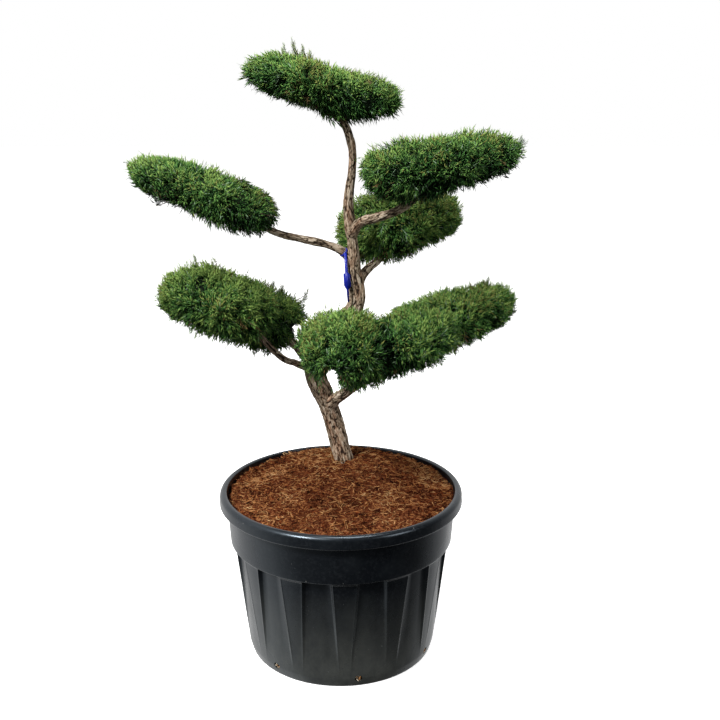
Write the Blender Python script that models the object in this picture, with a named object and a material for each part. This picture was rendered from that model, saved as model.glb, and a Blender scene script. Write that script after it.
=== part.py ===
"""A cloud-pruned Pfitzer juniper in a fluted nursery pot.

Units are metres, +Z is up and the origin is the centre of the pot's underside. +X is the plant's
right and -Y its front. The pot holds a mounded fill of bark compost, the leaning trunk stands on
that fill, eight boughs branch from it, and each bough and the trunk's tip carry one clipped pad of
foliage. Neighbouring pieces stay CLEAR apart.
"""

import math

import bmesh
import bpy
import numpy as np

# ---------------------------------------------------------------- driving dimensions
CLEAR = 0.0004  # gap between touching pieces
ROOT_CLEAR = 0.0005  # gap between a bough's root and the limb that bears it
FIT_CLEAR = 0.0007  # gap between the fill and the pot's wall

POT_HEIGHT = 0.599
RIM_RADIUS = 0.428
RIM_DROP = 0.047  # height of the rolled rim
RIM_ROUND = 0.012  # height and width of the rim's rounded top
MOUTH_RADIUS = 0.402
MOUTH_DROP = 0.030  # height of the rim's inner lip
BAND_TOP_RADIUS = 0.4020
BAND_FOOT = 0.416  # height where the smooth band ends in a shoulder
BAND_FOOT_RADIUS = 0.3925
BODY_TOP = 0.404
BODY_TOP_RADIUS = 0.3790
BODY_FOOT = 0.034
BODY_FOOT_RADIUS = 0.3360
BASE_RADIUS = 0.3280
WALL = 0.0045
FLOOR_THICKNESS = 0.0065
FLUTE_COUNT = 13
FLUTE_FIRST = math.radians(16.7)  # angle of the first flute, from the front towards the right
FLUTE_DEPTH = 0.013
FLUTE_FADE = 0.050  # height where a flute runs out
FLUTE_HALF_TOP = math.radians(7.8)
FLUTE_HALF_FOOT = math.radians(10.8)
FLUTE_SIDE = math.radians(1.6)  # angle that a flute's side wall takes
HOLE_COUNT = 7
HOLE_FIRST = math.radians(10.7)
HOLE_WIDTH = 0.025
HOLE_HEIGHT = 0.021
HOLE_CENTRE = 0.035
HOLE_CUT = 0.076  # length of the bar that cuts it

SOIL_EDGE = 0.575
SOIL_FOOT = 0.6340  # height of the flat place under the trunk
TRUNK_FOOT = (0.008, 0.165)
FOOT_PLACE = 0.075  # radius of that flat place
MOUND_STEPS = (0.35, 0.70, 1.0)  # rings of the mound, as shares of the way in from the edge

TRUNK_SIDES = 10
BOUGH_SIDES = 8
LINE_STEPS = 2  # rings for each stretch of the trunk's line
BOUGH_STEPS = 12  # finest steps for each stretch of a bough's line
BOUGH_KEEP = 7  # every so many of which becomes a ring
FLARE_HEIGHT = 0.09
FLARE = 0.05  # how much the foot swells, as a share of its radius
ROOT_LOBES = 5
ROOT_LOBE_DEPTH = 0.07

FRINGE = 0.024  # depth of the loose sprays between a pad's dense core and its clipped outline
ENTRY_SHARE = 0.98  # where a bough entering a pad is cut off
PAD_MARGIN = 0.05  # how far pads keep to their own side of the border between them
SPRAY_LENGTH = 0.072
SPRAY_WIDTH = 0.040
SPRAY_THICKNESS = 0.007
SPRAY_SIZES = (1.0, 0.85, 0.7)  # a spray that doesn't fit is tried smaller
SPRAY_SINK = 0.30  # share of a spray that is sunk in its twig
TWIG_ROOT = 0.45  # where a twig starts, as a share of the pad's outline
TWIG_RADIUS = 0.0045
TWIG_TAPER = 0.6
TWIG_LIFT = 0.35  # how far side sprays turn up
LIMB_GAP = 0.004  # gap between foliage and any limb
STEM_AHEAD = 0.030  # how far a stem runs straight on from its bough
TWIGS_PER_PAD = 12
TWIGS_PER_METRE = 32  # further twigs for each metre of a pad's half length
SPRAYS_PER_TWIG = 2

LABEL_THICKNESS = 0.0014
LABEL_STEP = 11  # where the strap lies, in steps along its bough's line
LABEL_LEAN = 0.06  # how far the label hangs towards the trunk
# Half widths of the label and how far below the strap each one is.
LABEL_OUTLINE = (
    (0.0035, 0.000), (0.0035, 0.066), (0.0110, 0.070), (0.0110, 0.116), (0.0030, 0.122),
    (0.0020, 0.168))
STRAP_GAP = 0.0018  # slack between the strap and the bough
STRAP_WIDTH = 0.008
STRAP_SIDES = 16

# The trunk's line: x, y, z, radius, from its flat foot to its tip under the top pad.
TRUNK_LINE = (
    (0.008, 0.165, 0.6344, 0.0330),
    (-0.010, 0.160, 0.699, 0.0345),
    (-0.035, 0.150, 0.806, 0.0345),
    (-0.066, 0.140, 0.894, 0.0360),
    (-0.090, 0.130, 0.964, 0.0360),
    (-0.085, 0.125, 1.035, 0.0350),
    (-0.056, 0.120, 1.105, 0.0330),
    (-0.003, 0.110, 1.169, 0.0310),
    (0.045, 0.100, 1.216, 0.0295),
    (0.056, 0.095, 1.280, 0.0290),
    (0.045, 0.085, 1.355, 0.0245),
    (0.043, 0.075, 1.440, 0.0200),
    (0.035, 0.070, 1.507, 0.0185),
    (0.027, 0.060, 1.589, 0.0165),
    (0.040, 0.050, 1.686, 0.0152),
    (0.042, 0.035, 1.760, 0.0130),
    (0.026, 0.014, 1.824, 0.0125),
    (0.012, 0.005, 1.850, 0.0118),
)

# Each bough's line: x, y, z, radius. It starts inside the limb that bears it, which cuts its root,
# and runs on into its pad, where it is cut off.
BOUGHS = {
    "bough_front": (
        "trunk",
        (
            (-0.056, 0.150, 0.846, 0.0240),
            (0.000, 0.080, 0.906, 0.0215),
            (0.040, 0.010, 0.958, 0.0190),
            (0.052, -0.060, 1.000, 0.0170),
            (0.046, -0.108, 1.042, 0.0155),
            (0.030, -0.150, 1.100, 0.0140),
        ),
    ),
    "bough_mid": (
        "bough_front",
        (
            (0.036, 0.020, 0.953, 0.0140),
            (0.100, -0.020, 0.996, 0.0135),
            (0.152, -0.065, 1.034, 0.0120),
            (0.192, -0.098, 1.066, 0.0105),
            (0.220, -0.120, 1.110, 0.0095),
        ),
    ),
    "bough_right": (
        "trunk",
        (
            (-0.084, 0.127, 1.010, 0.0190),
            (0.000, 0.118, 1.036, 0.0165),
            (0.090, 0.105, 1.056, 0.0150),
            (0.160, 0.096, 1.080, 0.0138),
            (0.220, 0.095, 1.118, 0.0125),
            (0.290, 0.098, 1.160, 0.0115),
        ),
    ),
    "bough_left_rear": (
        "trunk",
        (
            (-0.088, 0.128, 1.000, 0.0190),
            (-0.128, 0.130, 1.034, 0.0170),
            (-0.160, 0.133, 1.074, 0.0150),
            (-0.193, 0.138, 1.108, 0.0140),
            (-0.228, 0.150, 1.160, 0.0125),
        ),
    ),
    "bough_left_front": (
        "trunk",
        (
            (-0.086, 0.128, 0.972, 0.0150),
            (-0.128, 0.108, 1.003, 0.0125),
            (-0.160, 0.074, 1.027, 0.0120),
            (-0.192, 0.040, 1.048, 0.0115),
            (-0.228, 0.018, 1.085, 0.0110),
            (-0.270, 0.000, 1.140, 0.0100),
            (-0.320, -0.014, 1.190, 0.0090),
        ),
    ),
    "bough_left_high": (
        "trunk",
        (
            (0.042, 0.082, 1.386, 0.0150),
            (0.004, 0.070, 1.423, 0.0136),
            (-0.051, 0.050, 1.449, 0.0130),
            (-0.117, 0.030, 1.467, 0.0125),
            (-0.182, 0.010, 1.485, 0.0120),
            (-0.235, 0.000, 1.506, 0.0115),
            (-0.300, -0.002, 1.545, 0.0105),
        ),
    ),
    "bough_right_high": (
        "trunk",
        (
            (0.038, 0.070, 1.480, 0.0170),
            (0.067, 0.040, 1.522, 0.0158),
            (0.116, 0.000, 1.543, 0.0145),
            (0.171, -0.030, 1.563, 0.0138),
            (0.206, -0.054, 1.585, 0.0132),
            (0.234, -0.072, 1.608, 0.0125),
            (0.270, -0.082, 1.650, 0.0115),
        ),
    ),
    "bough_back": (
        "trunk",
        (
            (0.054, 0.094, 1.290, 0.0165),
            (0.078, 0.140, 1.330, 0.0148),
            (0.106, 0.190, 1.350, 0.0135),
            (0.136, 0.235, 1.368, 0.0125),
            (0.168, 0.268, 1.420, 0.0115),
        ),
    ),
}

# Each pad: bearer, centre, half length, half width, rise above and drop below the centre, tilt
# (right end up) and turn (right end back) in degrees, how much the drop and the rise grow towards
# the right end, and its seed.
PADS = {
    "foliage_top": (
        "trunk", (-0.048, 0.050, 1.957), 0.258, 0.165, 0.078, 0.084, -10.5, 4, 0.30, -0.10, 11),
    "foliage_left_high": (
        "bough_left_high", (-0.455, -0.005, 1.634), 0.276, 0.155, 0.078, 0.072, -19.5, -6, 0.25,
        0.00, 12),
    "foliage_right_high": (
        "bough_right_high", (0.324, -0.085, 1.719), 0.262, 0.160, 0.092, 0.090, 9.0, 6, -0.30,
        -0.05, 13),
    "foliage_back": (
        "bough_back", (0.218, 0.285, 1.489), 0.232, 0.150, 0.128, 0.114, 11.0, -8, -0.15, 0.00, 14),
    "foliage_left_front": (
        "bough_left_front", (-0.412, -0.030, 1.272), 0.204, 0.145, 0.100, 0.112, -14.0, -10, 0.10,
        -0.05, 15),
    "foliage_left_rear": (
        "bough_left_rear", (-0.285, 0.170, 1.166), 0.172, 0.130, 0.120, 0.106, -12.0, 8, 0.10,
        -0.10, 16),
    "foliage_front": (
        "bough_front", (0.008, -0.205, 1.154), 0.158, 0.150, 0.122, 0.122, 0.0, 0, 0.25, 0.00, 17),
    "foliage_mid": (
        "bough_mid", (0.220, -0.140, 1.168), 0.170, 0.135, 0.092, 0.108, 15.0, 0, -0.20, 0.05, 18),
    "foliage_right": (
        "bough_right", (0.370, 0.100, 1.183), 0.256, 0.145, 0.090, 0.106, 14.5, 8, -0.10, 0.00, 19),
}
PAD_SQUARENESS = 2.4  # exponent of a pad's outline: 2 is an ellipsoid, more is boxier
PAD_LUMPS = 0.028  # how far the clipping leaves it uneven
LUMP_WAVES = 5
LUMP_RATE = 4.2  # how quickly the unevenness changes round the pad

# Shoots that the shears have missed, as a pad, a place on its outline and how far they overshoot.
WILD_SHOOTS = {
    "foliage_top": (((-0.73, -0.10, 0.68), 0.045), ((-0.60, 0.20, 0.80), 0.020)),
    "foliage_left_front": (((-0.55, 0.00, 0.60), 0.012),),
    "foliage_left_rear": (((0.69, -0.15, 0.72), 0.030),),
    "foliage_right_high": (((0.98, 0.00, 0.13), 0.014),),
}


# ---------------------------------------------------------------- helpers
def make_material(name, colour, roughness):
    """A plain Principled material."""
    material = bpy.data.materials.new(name)
    material.use_nodes = True
    shader = material.node_tree.nodes["Principled BSDF"]
    shader.inputs["Base Color"].default_value = (*colour, 1.0)
    shader.inputs["Roughness"].default_value = roughness
    shader.inputs["Metallic"].default_value = 0.0
    return material


def make_object(name, points, faces, material=None):
    """A mesh object whose faces are turned outwards."""
    mesh = bpy.data.meshes.new(name)
    mesh.from_pydata([tuple(p) for p in points], [], faces)
    shape = bmesh.new()
    shape.from_mesh(mesh)
    bmesh.ops.recalc_face_normals(shape, faces=shape.faces)
    shape.to_mesh(mesh)
    shape.free()
    if material:
        mesh.materials.append(material)
    item = bpy.data.objects.new(name, mesh)
    bpy.context.scene.collection.objects.link(item)
    return item


def hide_cutter(item):
    """Marks an object as a tool that shapes others and isn't part of the plant."""
    item.hide_render = True
    item.display_type = "WIRE"
    return item


def boolean(item, operation, operand, solver="EXACT"):
    """Cuts or joins item with an object or a collection, and applies it."""
    step = item.modifiers.new(operation.lower(), "BOOLEAN")
    step.operation = operation
    step.solver = solver
    if isinstance(operand, bpy.types.Collection):
        step.operand_type = "COLLECTION"
        step.collection = operand
    else:
        step.object = operand
    graph = bpy.context.evaluated_depsgraph_get()
    made = bpy.data.meshes.new_from_object(item.evaluated_get(graph))
    item.modifiers.clear()
    item.data = made


def grid_faces(rows, columns):
    """Quads that join closed rings of points, one ring above the other."""
    faces = []
    for low in range(0, (rows - 1) * columns, columns):
        for c in range(columns):
            following = (c + 1) % columns
            faces.append((low + c, low + following, low + columns + following, low + columns + c))
    return faces


def end_faces(rows, columns):
    """The flat faces that close the first and last ring."""
    last = (rows - 1) * columns
    return [tuple(range(columns)), tuple(range(last, last + columns))]


def short_splits(points, quads):
    """Each quad as two triangles that meet on its shorter diagonal, so that walls stay parallel."""
    triangles = []
    for a, b, c, d in quads:
        if np.linalg.norm(points[a] - points[c]) <= np.linalg.norm(points[b] - points[d]):
            triangles += [(a, b, c), (a, c, d)]
        else:
            triangles += [(a, b, d), (b, c, d)]
    return triangles


def make_turned(name, rings, material):
    """A closed solid through fluted rings, with flat ends."""
    points = np.vstack(rings)
    rows, columns = len(rings), len(rings[0])
    faces = short_splits(points, grid_faces(rows, columns)) + end_faces(rows, columns)
    return make_object(name, points, faces, material)


def smooth_line(points, per_span):
    """A Catmull-Rom curve through the points, with per_span steps between neighbours."""
    p = np.array(points, float)
    p = np.vstack([2 * p[0] - p[1], p, 2 * p[-1] - p[-2]])
    t = np.linspace(0, 1, per_span, endpoint=False)[:, None]
    spans = []
    for a, b, c, d in zip(p[:-3], p[1:-2], p[2:-1], p[3:]):
        spans.append(
            0.5 * (2 * b + (c - a) * t + (2 * a - 5 * b + 4 * c - d) * t**2
                   + (3 * b - a - 3 * c + d) * t**3)
        )
    return np.vstack([*spans, p[-2:-1]])


def limb_rings(line, sides, growth=0.0, level_foot=False):
    """Rings of points round a tapering line. growth widens every ring, for a cutter."""
    centres, radii = line[:, :3], line[:, 3] + growth
    along = np.gradient(centres, axis=0)
    along /= np.linalg.norm(along, axis=1)[:, None]
    if level_foot:
        along[0] = (0, 0, 1)
    side = np.cross(along[0], (0.0, 1.0, 0.0))
    side /= np.linalg.norm(side)
    angles = np.linspace(0, 2 * math.pi, sides, endpoint=False)
    rings = []
    for centre, radius, ahead in zip(centres, radii, along):
        side = side - ahead * (side @ ahead)
        side /= np.linalg.norm(side)
        up = np.cross(ahead, side)
        rings.append(
            centre + radius * (np.outer(np.cos(angles), side) + np.outer(np.sin(angles), up))
        )
    return rings


def make_limb(name, rings, material=None):
    """A closed tube through the rings, with flat ends."""
    rows, sides = len(rings), len(rings[0])
    faces = grid_faces(rows, sides) + end_faces(rows, sides)
    return make_object(name, np.vstack(rings), faces, material)


# ---------------------------------------------------------------- pot
def pot_ring(radius, height, fluted=True):
    """One ring of the pot's wall, its angles running from the front towards the right.

    Each flute takes five points: the middle of the rib before it, its left edge, the two sides of
    its floor and its right edge. It is deepest at the shoulder, widens downwards and fades out at
    the foot, so that the ribs between the flutes taper.
    """
    share = min(max((height - FLUTE_FADE) / (BODY_TOP - FLUTE_FADE), 0.0), 1.0)
    half = FLUTE_HALF_FOOT + (FLUTE_HALF_TOP - FLUTE_HALF_FOOT) * share
    depth = FLUTE_DEPTH * share if fluted else 0.0
    pitch = 2 * math.pi / FLUTE_COUNT
    offsets = np.array([-pitch / 2, -half, FLUTE_SIDE - half, half - FLUTE_SIDE, half])
    middles = FLUTE_FIRST + pitch * np.arange(FLUTE_COUNT)
    angles = (middles[:, None] + offsets).ravel()
    radii = radius - np.tile([0.0, 0.0, depth, depth, 0.0], FLUTE_COUNT)
    return np.column_stack([
        radii * np.sin(angles), -radii * np.cos(angles), np.full(len(angles), height)])


def body_radius(height):
    """The radius of the ribs' faces between the flutes."""
    share = (height - BODY_FOOT) / (BODY_TOP - BODY_FOOT)
    return BODY_FOOT_RADIUS + (BODY_TOP_RADIUS - BODY_FOOT_RADIUS) * share


def inner_rings(inset, top):
    """The rings of the pot's inner wall, from the floor up to top, moved in by inset."""
    heights = (FLUTE_FADE, BODY_TOP + inset)
    rings = [pot_ring(BASE_RADIUS - inset, FLOOR_THICKNESS + inset - WALL)]
    rings += [pot_ring(body_radius(h) - inset, h) for h in heights]
    rings.append(pot_ring(BAND_FOOT_RADIUS - inset, BAND_FOOT + inset, fluted=False))
    share = (top - BAND_FOOT) / (POT_HEIGHT - RIM_DROP - BAND_FOOT)
    radius = BAND_FOOT_RADIUS + (BAND_TOP_RADIUS - BAND_FOOT_RADIUS) * share
    rings.append(pot_ring(radius - inset, top, fluted=False))
    return rings


def make_pot(material):
    """The shell: foot, fluted body, shoulder, smooth band, rolled rim and inner wall."""
    rim_foot = POT_HEIGHT - RIM_DROP
    rings = [
        pot_ring(BASE_RADIUS, 0.0),
        pot_ring(BODY_FOOT_RADIUS, BODY_FOOT),
        pot_ring(body_radius(FLUTE_FADE), FLUTE_FADE),
        pot_ring(BODY_TOP_RADIUS, BODY_TOP),
        pot_ring(BAND_FOOT_RADIUS, BAND_FOOT, fluted=False),
        pot_ring(BAND_TOP_RADIUS, rim_foot, fluted=False),
        pot_ring(RIM_RADIUS, rim_foot, fluted=False),
        pot_ring(RIM_RADIUS, POT_HEIGHT - RIM_ROUND, fluted=False),
        pot_ring(RIM_RADIUS - RIM_ROUND, POT_HEIGHT, fluted=False),
        pot_ring(MOUTH_RADIUS, POT_HEIGHT, fluted=False),
    ]
    rings += inner_rings(WALL, POT_HEIGHT - MOUTH_DROP)[::-1]
    pot = make_turned("pot", rings, material)
    holes = bpy.data.collections.new("drain_holes")
    bpy.context.scene.collection.children.link(holes)
    for k in range(HOLE_COUNT):
        holes.objects.link(drain_cutter(HOLE_FIRST + k * 2 * math.pi / HOLE_COUNT))
    boolean(pot, "DIFFERENCE", holes)
    for cutter in list(holes.objects):
        bpy.data.objects.remove(cutter)
    bpy.data.collections.remove(holes)
    return pot


def drain_cutter(angle):
    """A bar that cuts one drain hole through the wall, just above the pot's floor."""
    shape = bmesh.new()
    bmesh.ops.create_cube(shape, size=1.0)
    bmesh.ops.scale(shape, vec=(HOLE_WIDTH, HOLE_CUT, HOLE_HEIGHT), verts=shape.verts)
    mesh = bpy.data.meshes.new("drain_cutter")
    shape.to_mesh(mesh)
    shape.free()
    cutter = bpy.data.objects.new("drain_cutter", mesh)
    cutter.location = (
        BODY_FOOT_RADIUS * math.sin(angle), -BODY_FOOT_RADIUS * math.cos(angle), HOLE_CENTRE)
    cutter.rotation_euler[2] = angle
    return hide_cutter(cutter)


# ---------------------------------------------------------------- soil
def make_soil(material):
    """The fill, following the pot's inner wall, mounded to a flat place under the trunk."""
    rings = inner_rings(WALL + FIT_CLEAR, SOIL_EDGE)
    edge = rings[-1]
    angles = np.arctan2(edge[:, 0], -edge[:, 1])
    place = np.column_stack([
        TRUNK_FOOT[0] + FOOT_PLACE * np.sin(angles),
        TRUNK_FOOT[1] - FOOT_PLACE * np.cos(angles),
        np.full(len(angles), SOIL_FOOT),
    ])
    for share in MOUND_STEPS:
        ring = edge + (place - edge) * share
        ring[:, 2] = SOIL_EDGE + (SOIL_FOOT - SOIL_EDGE) * math.sin(share * math.pi / 2)
        rings.append(ring)
    return make_turned("soil", rings, material)


# ---------------------------------------------------------------- trunk and boughs
def trunk_line():
    """The trunk's line, from its foot to its tip."""
    return smooth_line(TRUNK_LINE, LINE_STEPS)


def bough_line(name):
    """A bough's line, cut where its surface comes to its pad's outline."""
    fine = smooth_line(BOUGHS[name][1], BOUGH_STEPS)
    pad = next(Pad(pad) for pad in PADS if PADS[pad][0] == name)
    for last, ring in enumerate(limb_rings(fine, BOUGH_SIDES)):
        if pad.share(ring).min() < ENTRY_SHARE:
            break
    keep = np.linspace(0, last, 2 + last // BOUGH_KEEP).round().astype(int)
    return fine[keep]


def trunk_rings(growth=0.0):
    """The trunk, with root lobes that swell its lowest rings and a level foot."""
    line = trunk_line()
    rings = limb_rings(line, TRUNK_SIDES, growth, level_foot=True)
    for ring, centre in zip(rings, line[:, :3]):
        swell = max(0.0, 1 - (centre[2] - line[0, 2]) / FLARE_HEIGHT) ** 2
        outward = ring - centre
        angles = np.arctan2(outward[:, 1], outward[:, 0])
        lobes = FLARE + ROOT_LOBE_DEPTH * np.cos(ROOT_LOBES * angles)
        ring += outward * (swell * lobes)[:, None]
    rings[0][:, 2] = line[0, 2]
    return rings


def bearer_cutter(name):
    """The limb called name, grown by the clearance, to cut the roots of what it bears."""
    if name == "trunk":
        rings = trunk_rings(ROOT_CLEAR)
    else:
        rings = limb_rings(bough_line(name), BOUGH_SIDES, ROOT_CLEAR)
    return hide_cutter(make_limb("cutter_" + name, rings))


def make_bough(name, material):
    """One tapering bough, its root cut to sit against the limb that bears it."""
    bough = make_limb(name, limb_rings(bough_line(name), BOUGH_SIDES), material)
    cutter = bearer_cutter(BOUGHS[name][0])
    boolean(bough, "DIFFERENCE", cutter)
    bpy.data.objects.remove(cutter)
    return bough


def limb_lines():
    """Every limb's line, for keeping foliage off it."""
    return {"trunk": trunk_line(), **{name: bough_line(name) for name in BOUGHS}}


# ---------------------------------------------------------------- foliage
class Pad:
    """One clipped pad: its frame, its outline and what it has to stay clear of."""

    def __init__(self, name):
        (self.bearer, centre, self.length, self.width, self.rise, self.drop, tilt, turn, self.keel,
         self.crown, self.seed) = PADS[name]
        self.name = name
        self.centre = np.array(centre)
        tilt, turn = math.radians(tilt), math.radians(turn)
        along = np.array([
            math.cos(tilt) * math.cos(turn), math.cos(tilt) * math.sin(turn), math.sin(tilt)])
        across = np.array([-math.sin(turn), math.cos(turn), 0.0])
        self.frame = np.array([along, across, np.cross(along, across)])
        dice = np.random.default_rng(self.seed)
        self.waves = dice.uniform(-LUMP_RATE, LUMP_RATE, (LUMP_WAVES, 3))
        self.phases = dice.uniform(0, 2 * math.pi, LUMP_WAVES)

    def reach(self, directions):
        """The outline's distance from the centre along unit directions in the pad's own frame."""
        d = np.atleast_2d(directions)
        rise = self.rise * (1 + self.crown * d[:, 0])
        drop = self.drop * (1 + self.keel * d[:, 0])
        sizes = np.column_stack([
            np.full(len(d), self.length),
            np.full(len(d), self.width),
            np.where(d[:, 2] > 0, rise, drop),
        ])
        plain = (np.abs(d / sizes) ** PAD_SQUARENESS).sum(1) ** (-1 / PAD_SQUARENESS)
        lumps = np.sin(d @ self.waves.T + self.phases).sum(1)
        return plain * (1 + PAD_LUMPS * lumps)

    def share(self, points):
        """How far out each point lies: 1 on the outline, under 1 inside it."""
        local = (np.atleast_2d(points) - self.centre) @ self.frame.T
        distance = np.linalg.norm(local, axis=1) + 1e-9
        return distance / self.reach(local / distance[:, None])

    def place(self, direction, share):
        """The point at that share of the outline along a direction in the pad's own frame."""
        d = np.array(direction, float)
        d /= np.linalg.norm(d)
        return self.centre + (d * self.reach(d)[0] * share) @ self.frame


def limb_gap(points, line, margin):
    """True where every point is margin clear of a limb."""
    for a, b in zip(line[:-1], line[1:]):
        along = b[:3] - a[:3]
        t = np.clip((points - a[:3]) @ along / (along @ along), 0, 1)
        near = a[:3] + t[:, None] * along
        radius = a[3] + t * (b[3] - a[3])
        if (np.linalg.norm(points - near, axis=1) < radius + margin).any():
            return False
    return True


def crossing(pad, points, others):
    """True for each point that lies past the border with another pad."""
    own = pad.share(points)
    return np.any([other.share(points) < own + PAD_MARGIN for other in others], axis=0)


def fits(pad, points, others, limbs, overshoot=0.0):
    """Whether a twig or spray keeps to the pad's space, off the limbs and off other pads."""
    if (pad.share(points) > 1.0 + overshoot).any():
        return False
    if crossing(pad, points, others).any():
        return False
    return all(limb_gap(points, line, LIMB_GAP) for line in limbs.values())


def dense(points, steps=4):
    """The points and those between each pair of neighbours, to test a long thin shape."""
    shares = np.linspace(0, 1, steps, endpoint=False)[:, None, None]
    following = np.roll(points, -1, axis=0)
    return (points + (following - points) * shares).reshape(-1, 3)


def side_of(direction):
    """A unit vector square to a direction, as level as it can be."""
    up = (0.0, 0.0, 1.0) if abs(direction[2]) < 0.9 else (1.0, 0.0, 0.0)
    side = np.cross(direction, up)
    return side / np.linalg.norm(side)


def spray_shape(root, direction, normal, length, width):
    """A toothed blade: a root, two side teeth, a tip, and a raised rib on both faces."""
    across = np.cross(normal, direction)
    outline = (
        (0.00, 0.00), (0.60, 0.50), (0.62, 0.20), (1.00, 0.00), (0.62, -0.20), (0.60, -0.50))
    points = [root + direction * length * l + across * width * w for l, w in outline]
    rib = root + direction * length * 0.45
    points += [rib + normal * SPRAY_THICKNESS / 2, rib - normal * SPRAY_THICKNESS / 2]
    faces = []
    for i in range(6):
        faces += [(i, (i + 1) % 6, 6), ((i + 1) % 6, i, 7)]
    return np.array(points), faces


def twig_shape(start, end, thick, thin):
    """A three-sided tapering twig."""
    direction = (end - start) / np.linalg.norm(end - start)
    side = side_of(direction)
    up = np.cross(direction, side)
    points = []
    for centre, radius in ((start, thick), (end, thin)):
        for k in range(3):
            angle = 2 * math.pi * k / 3
            points.append(centre + radius * (math.cos(angle) * side + math.sin(angle) * up))
    faces = [(0, 1, 2), (5, 4, 3), (0, 3, 4, 1), (1, 4, 5, 2), (2, 5, 3, 0)]
    return np.array(points), faces


def core_shape(pad, others):
    """The dense heart of a pad, inside its fringe and drawn in where another pad is near."""
    shape = bmesh.new()
    bmesh.ops.create_icosphere(shape, subdivisions=3, radius=1.0)
    directions = np.array([v.co.normalized() for v in shape.verts])
    faces = [tuple(v.index for v in f.verts) for f in shape.faces]
    shape.free()
    sizes = pad.reach(directions) - FRINGE
    while True:
        points = pad.centre + (directions * sizes[:, None]) @ pad.frame
        past = crossing(pad, points, others)
        if not past.any():
            return points, faces
        sizes[past] *= 1 - PAD_MARGIN / 2


def stem_shape(pad, limbs):
    """The bearer's own wood carried on into the core, from the clearance past its tip."""
    line = limbs[pad.bearer]
    ahead = line[-1, :3] - line[-2, :3]
    ahead /= np.linalg.norm(ahead)
    start = line[-1, :3] + ahead * CLEAR
    inside = (pad.centre + start) / 2
    turn = start + ahead * STEM_AHEAD
    heading = (inside - turn) / np.linalg.norm(inside - turn)
    points = np.array([start, turn, turn + (ahead + heading) * STEM_AHEAD / 2, inside])
    radii = line[-1, 3] * np.array([1.0, 0.98, 0.9, 0.6])
    sections = limb_rings(np.column_stack([points, radii]), BOUGH_SIDES)
    first = limb_rings(np.array([line[-2], line[-1]]), BOUGH_SIDES)[-1] - line[-1, :3]
    sections[0] = start + first
    return sections


def pad_shoots(pad, others, limbs):
    """Twigs and the sprays on them, over the whole pad by a seeded rule."""
    dice = np.random.default_rng(pad.seed)
    shoots = []
    golden = math.pi * (3 - math.sqrt(5))
    count = round(TWIGS_PER_PAD + TWIGS_PER_METRE * pad.length)
    for k in range(count):
        height = 1 - 2 * (k + 0.5) / count
        angle = golden * k + dice.uniform(-0.2, 0.2)
        flat = math.sqrt(1 - height * height)
        direction = np.array([
            flat * math.cos(angle) * pad.length, flat * math.sin(angle) * pad.width,
            height * pad.rise])
        shoots += twig_with_sprays(pad, direction, 1.0, dice, others, limbs)
    for direction, overshoot in WILD_SHOOTS.get(pad.name, ()):
        d = np.array(direction)
        share = 1 + overshoot / pad.reach(d / np.linalg.norm(d))[0]
        shoots += twig_with_sprays(pad, d, share, dice, others, limbs, wild=True)
    return shoots


def twig_with_sprays(pad, direction, share, dice, others, limbs, wild=False):
    """One twig out of the core with sprays fanned at its end, or as much of it as fits."""
    tip = pad.place(direction, share * 0.995)
    root = pad.place(direction, TWIG_ROOT)
    outward = (tip - root) / np.linalg.norm(tip - root)
    growth = outward + np.array([0.0, 0.0, TWIG_LIFT])
    fork = tip - outward * SPRAY_LENGTH * (1 - SPRAY_SINK)
    twig = twig_shape(root, fork, TWIG_RADIUS, TWIG_RADIUS * TWIG_TAPER)
    overshoot = share - 1 if wild else 0.0
    if not fits(pad, dense(twig[0]), others, limbs, overshoot):
        return []
    found = [twig]
    for number in range(SPRAYS_PER_TWIG):
        angle = dice.uniform(0, 2 * math.pi)
        level = side_of(growth)
        side = level * math.cos(angle) + np.cross(outward, level) * math.sin(angle)
        heading = outward if number == 0 else growth + side * dice.uniform(0.55, 0.85)
        heading = heading / np.linalg.norm(heading)
        normal = np.cross(heading, side)
        normal /= np.linalg.norm(normal)
        for size in SPRAY_SIZES:
            length = SPRAY_LENGTH * size
            start = fork - heading * length * SPRAY_SINK
            blade = spray_shape(start, heading, normal, length, SPRAY_WIDTH * size)
            if fits(pad, dense(blade[0]), others, limbs, overshoot):
                found.append(blade)
                break
    return found


def make_pad(name, pads, limbs, material):
    """A pad of foliage joined into one solid: core, stem, twigs and sprays."""
    pad = pads[name]
    others = [other for other in pads.values() if other is not pad]
    points, faces = core_shape(pad, others)
    item = make_object(name, points, faces, material)
    pieces = bpy.data.collections.new(name + "_pieces")
    bpy.context.scene.collection.children.link(pieces)
    found = [make_limb(name + "_stem", stem_shape(pad, limbs))]
    for index, (points, faces) in enumerate(pad_shoots(pad, others, limbs)):
        found.append(make_object(f"{name}_piece_{index}", points, faces))
    for piece in found:
        bpy.context.scene.collection.objects.unlink(piece)
        pieces.objects.link(piece)
    boolean(item, "UNION", pieces, solver="MANIFOLD")
    for piece in found:
        bpy.data.objects.remove(piece)
    bpy.data.collections.remove(pieces)
    return item


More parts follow.
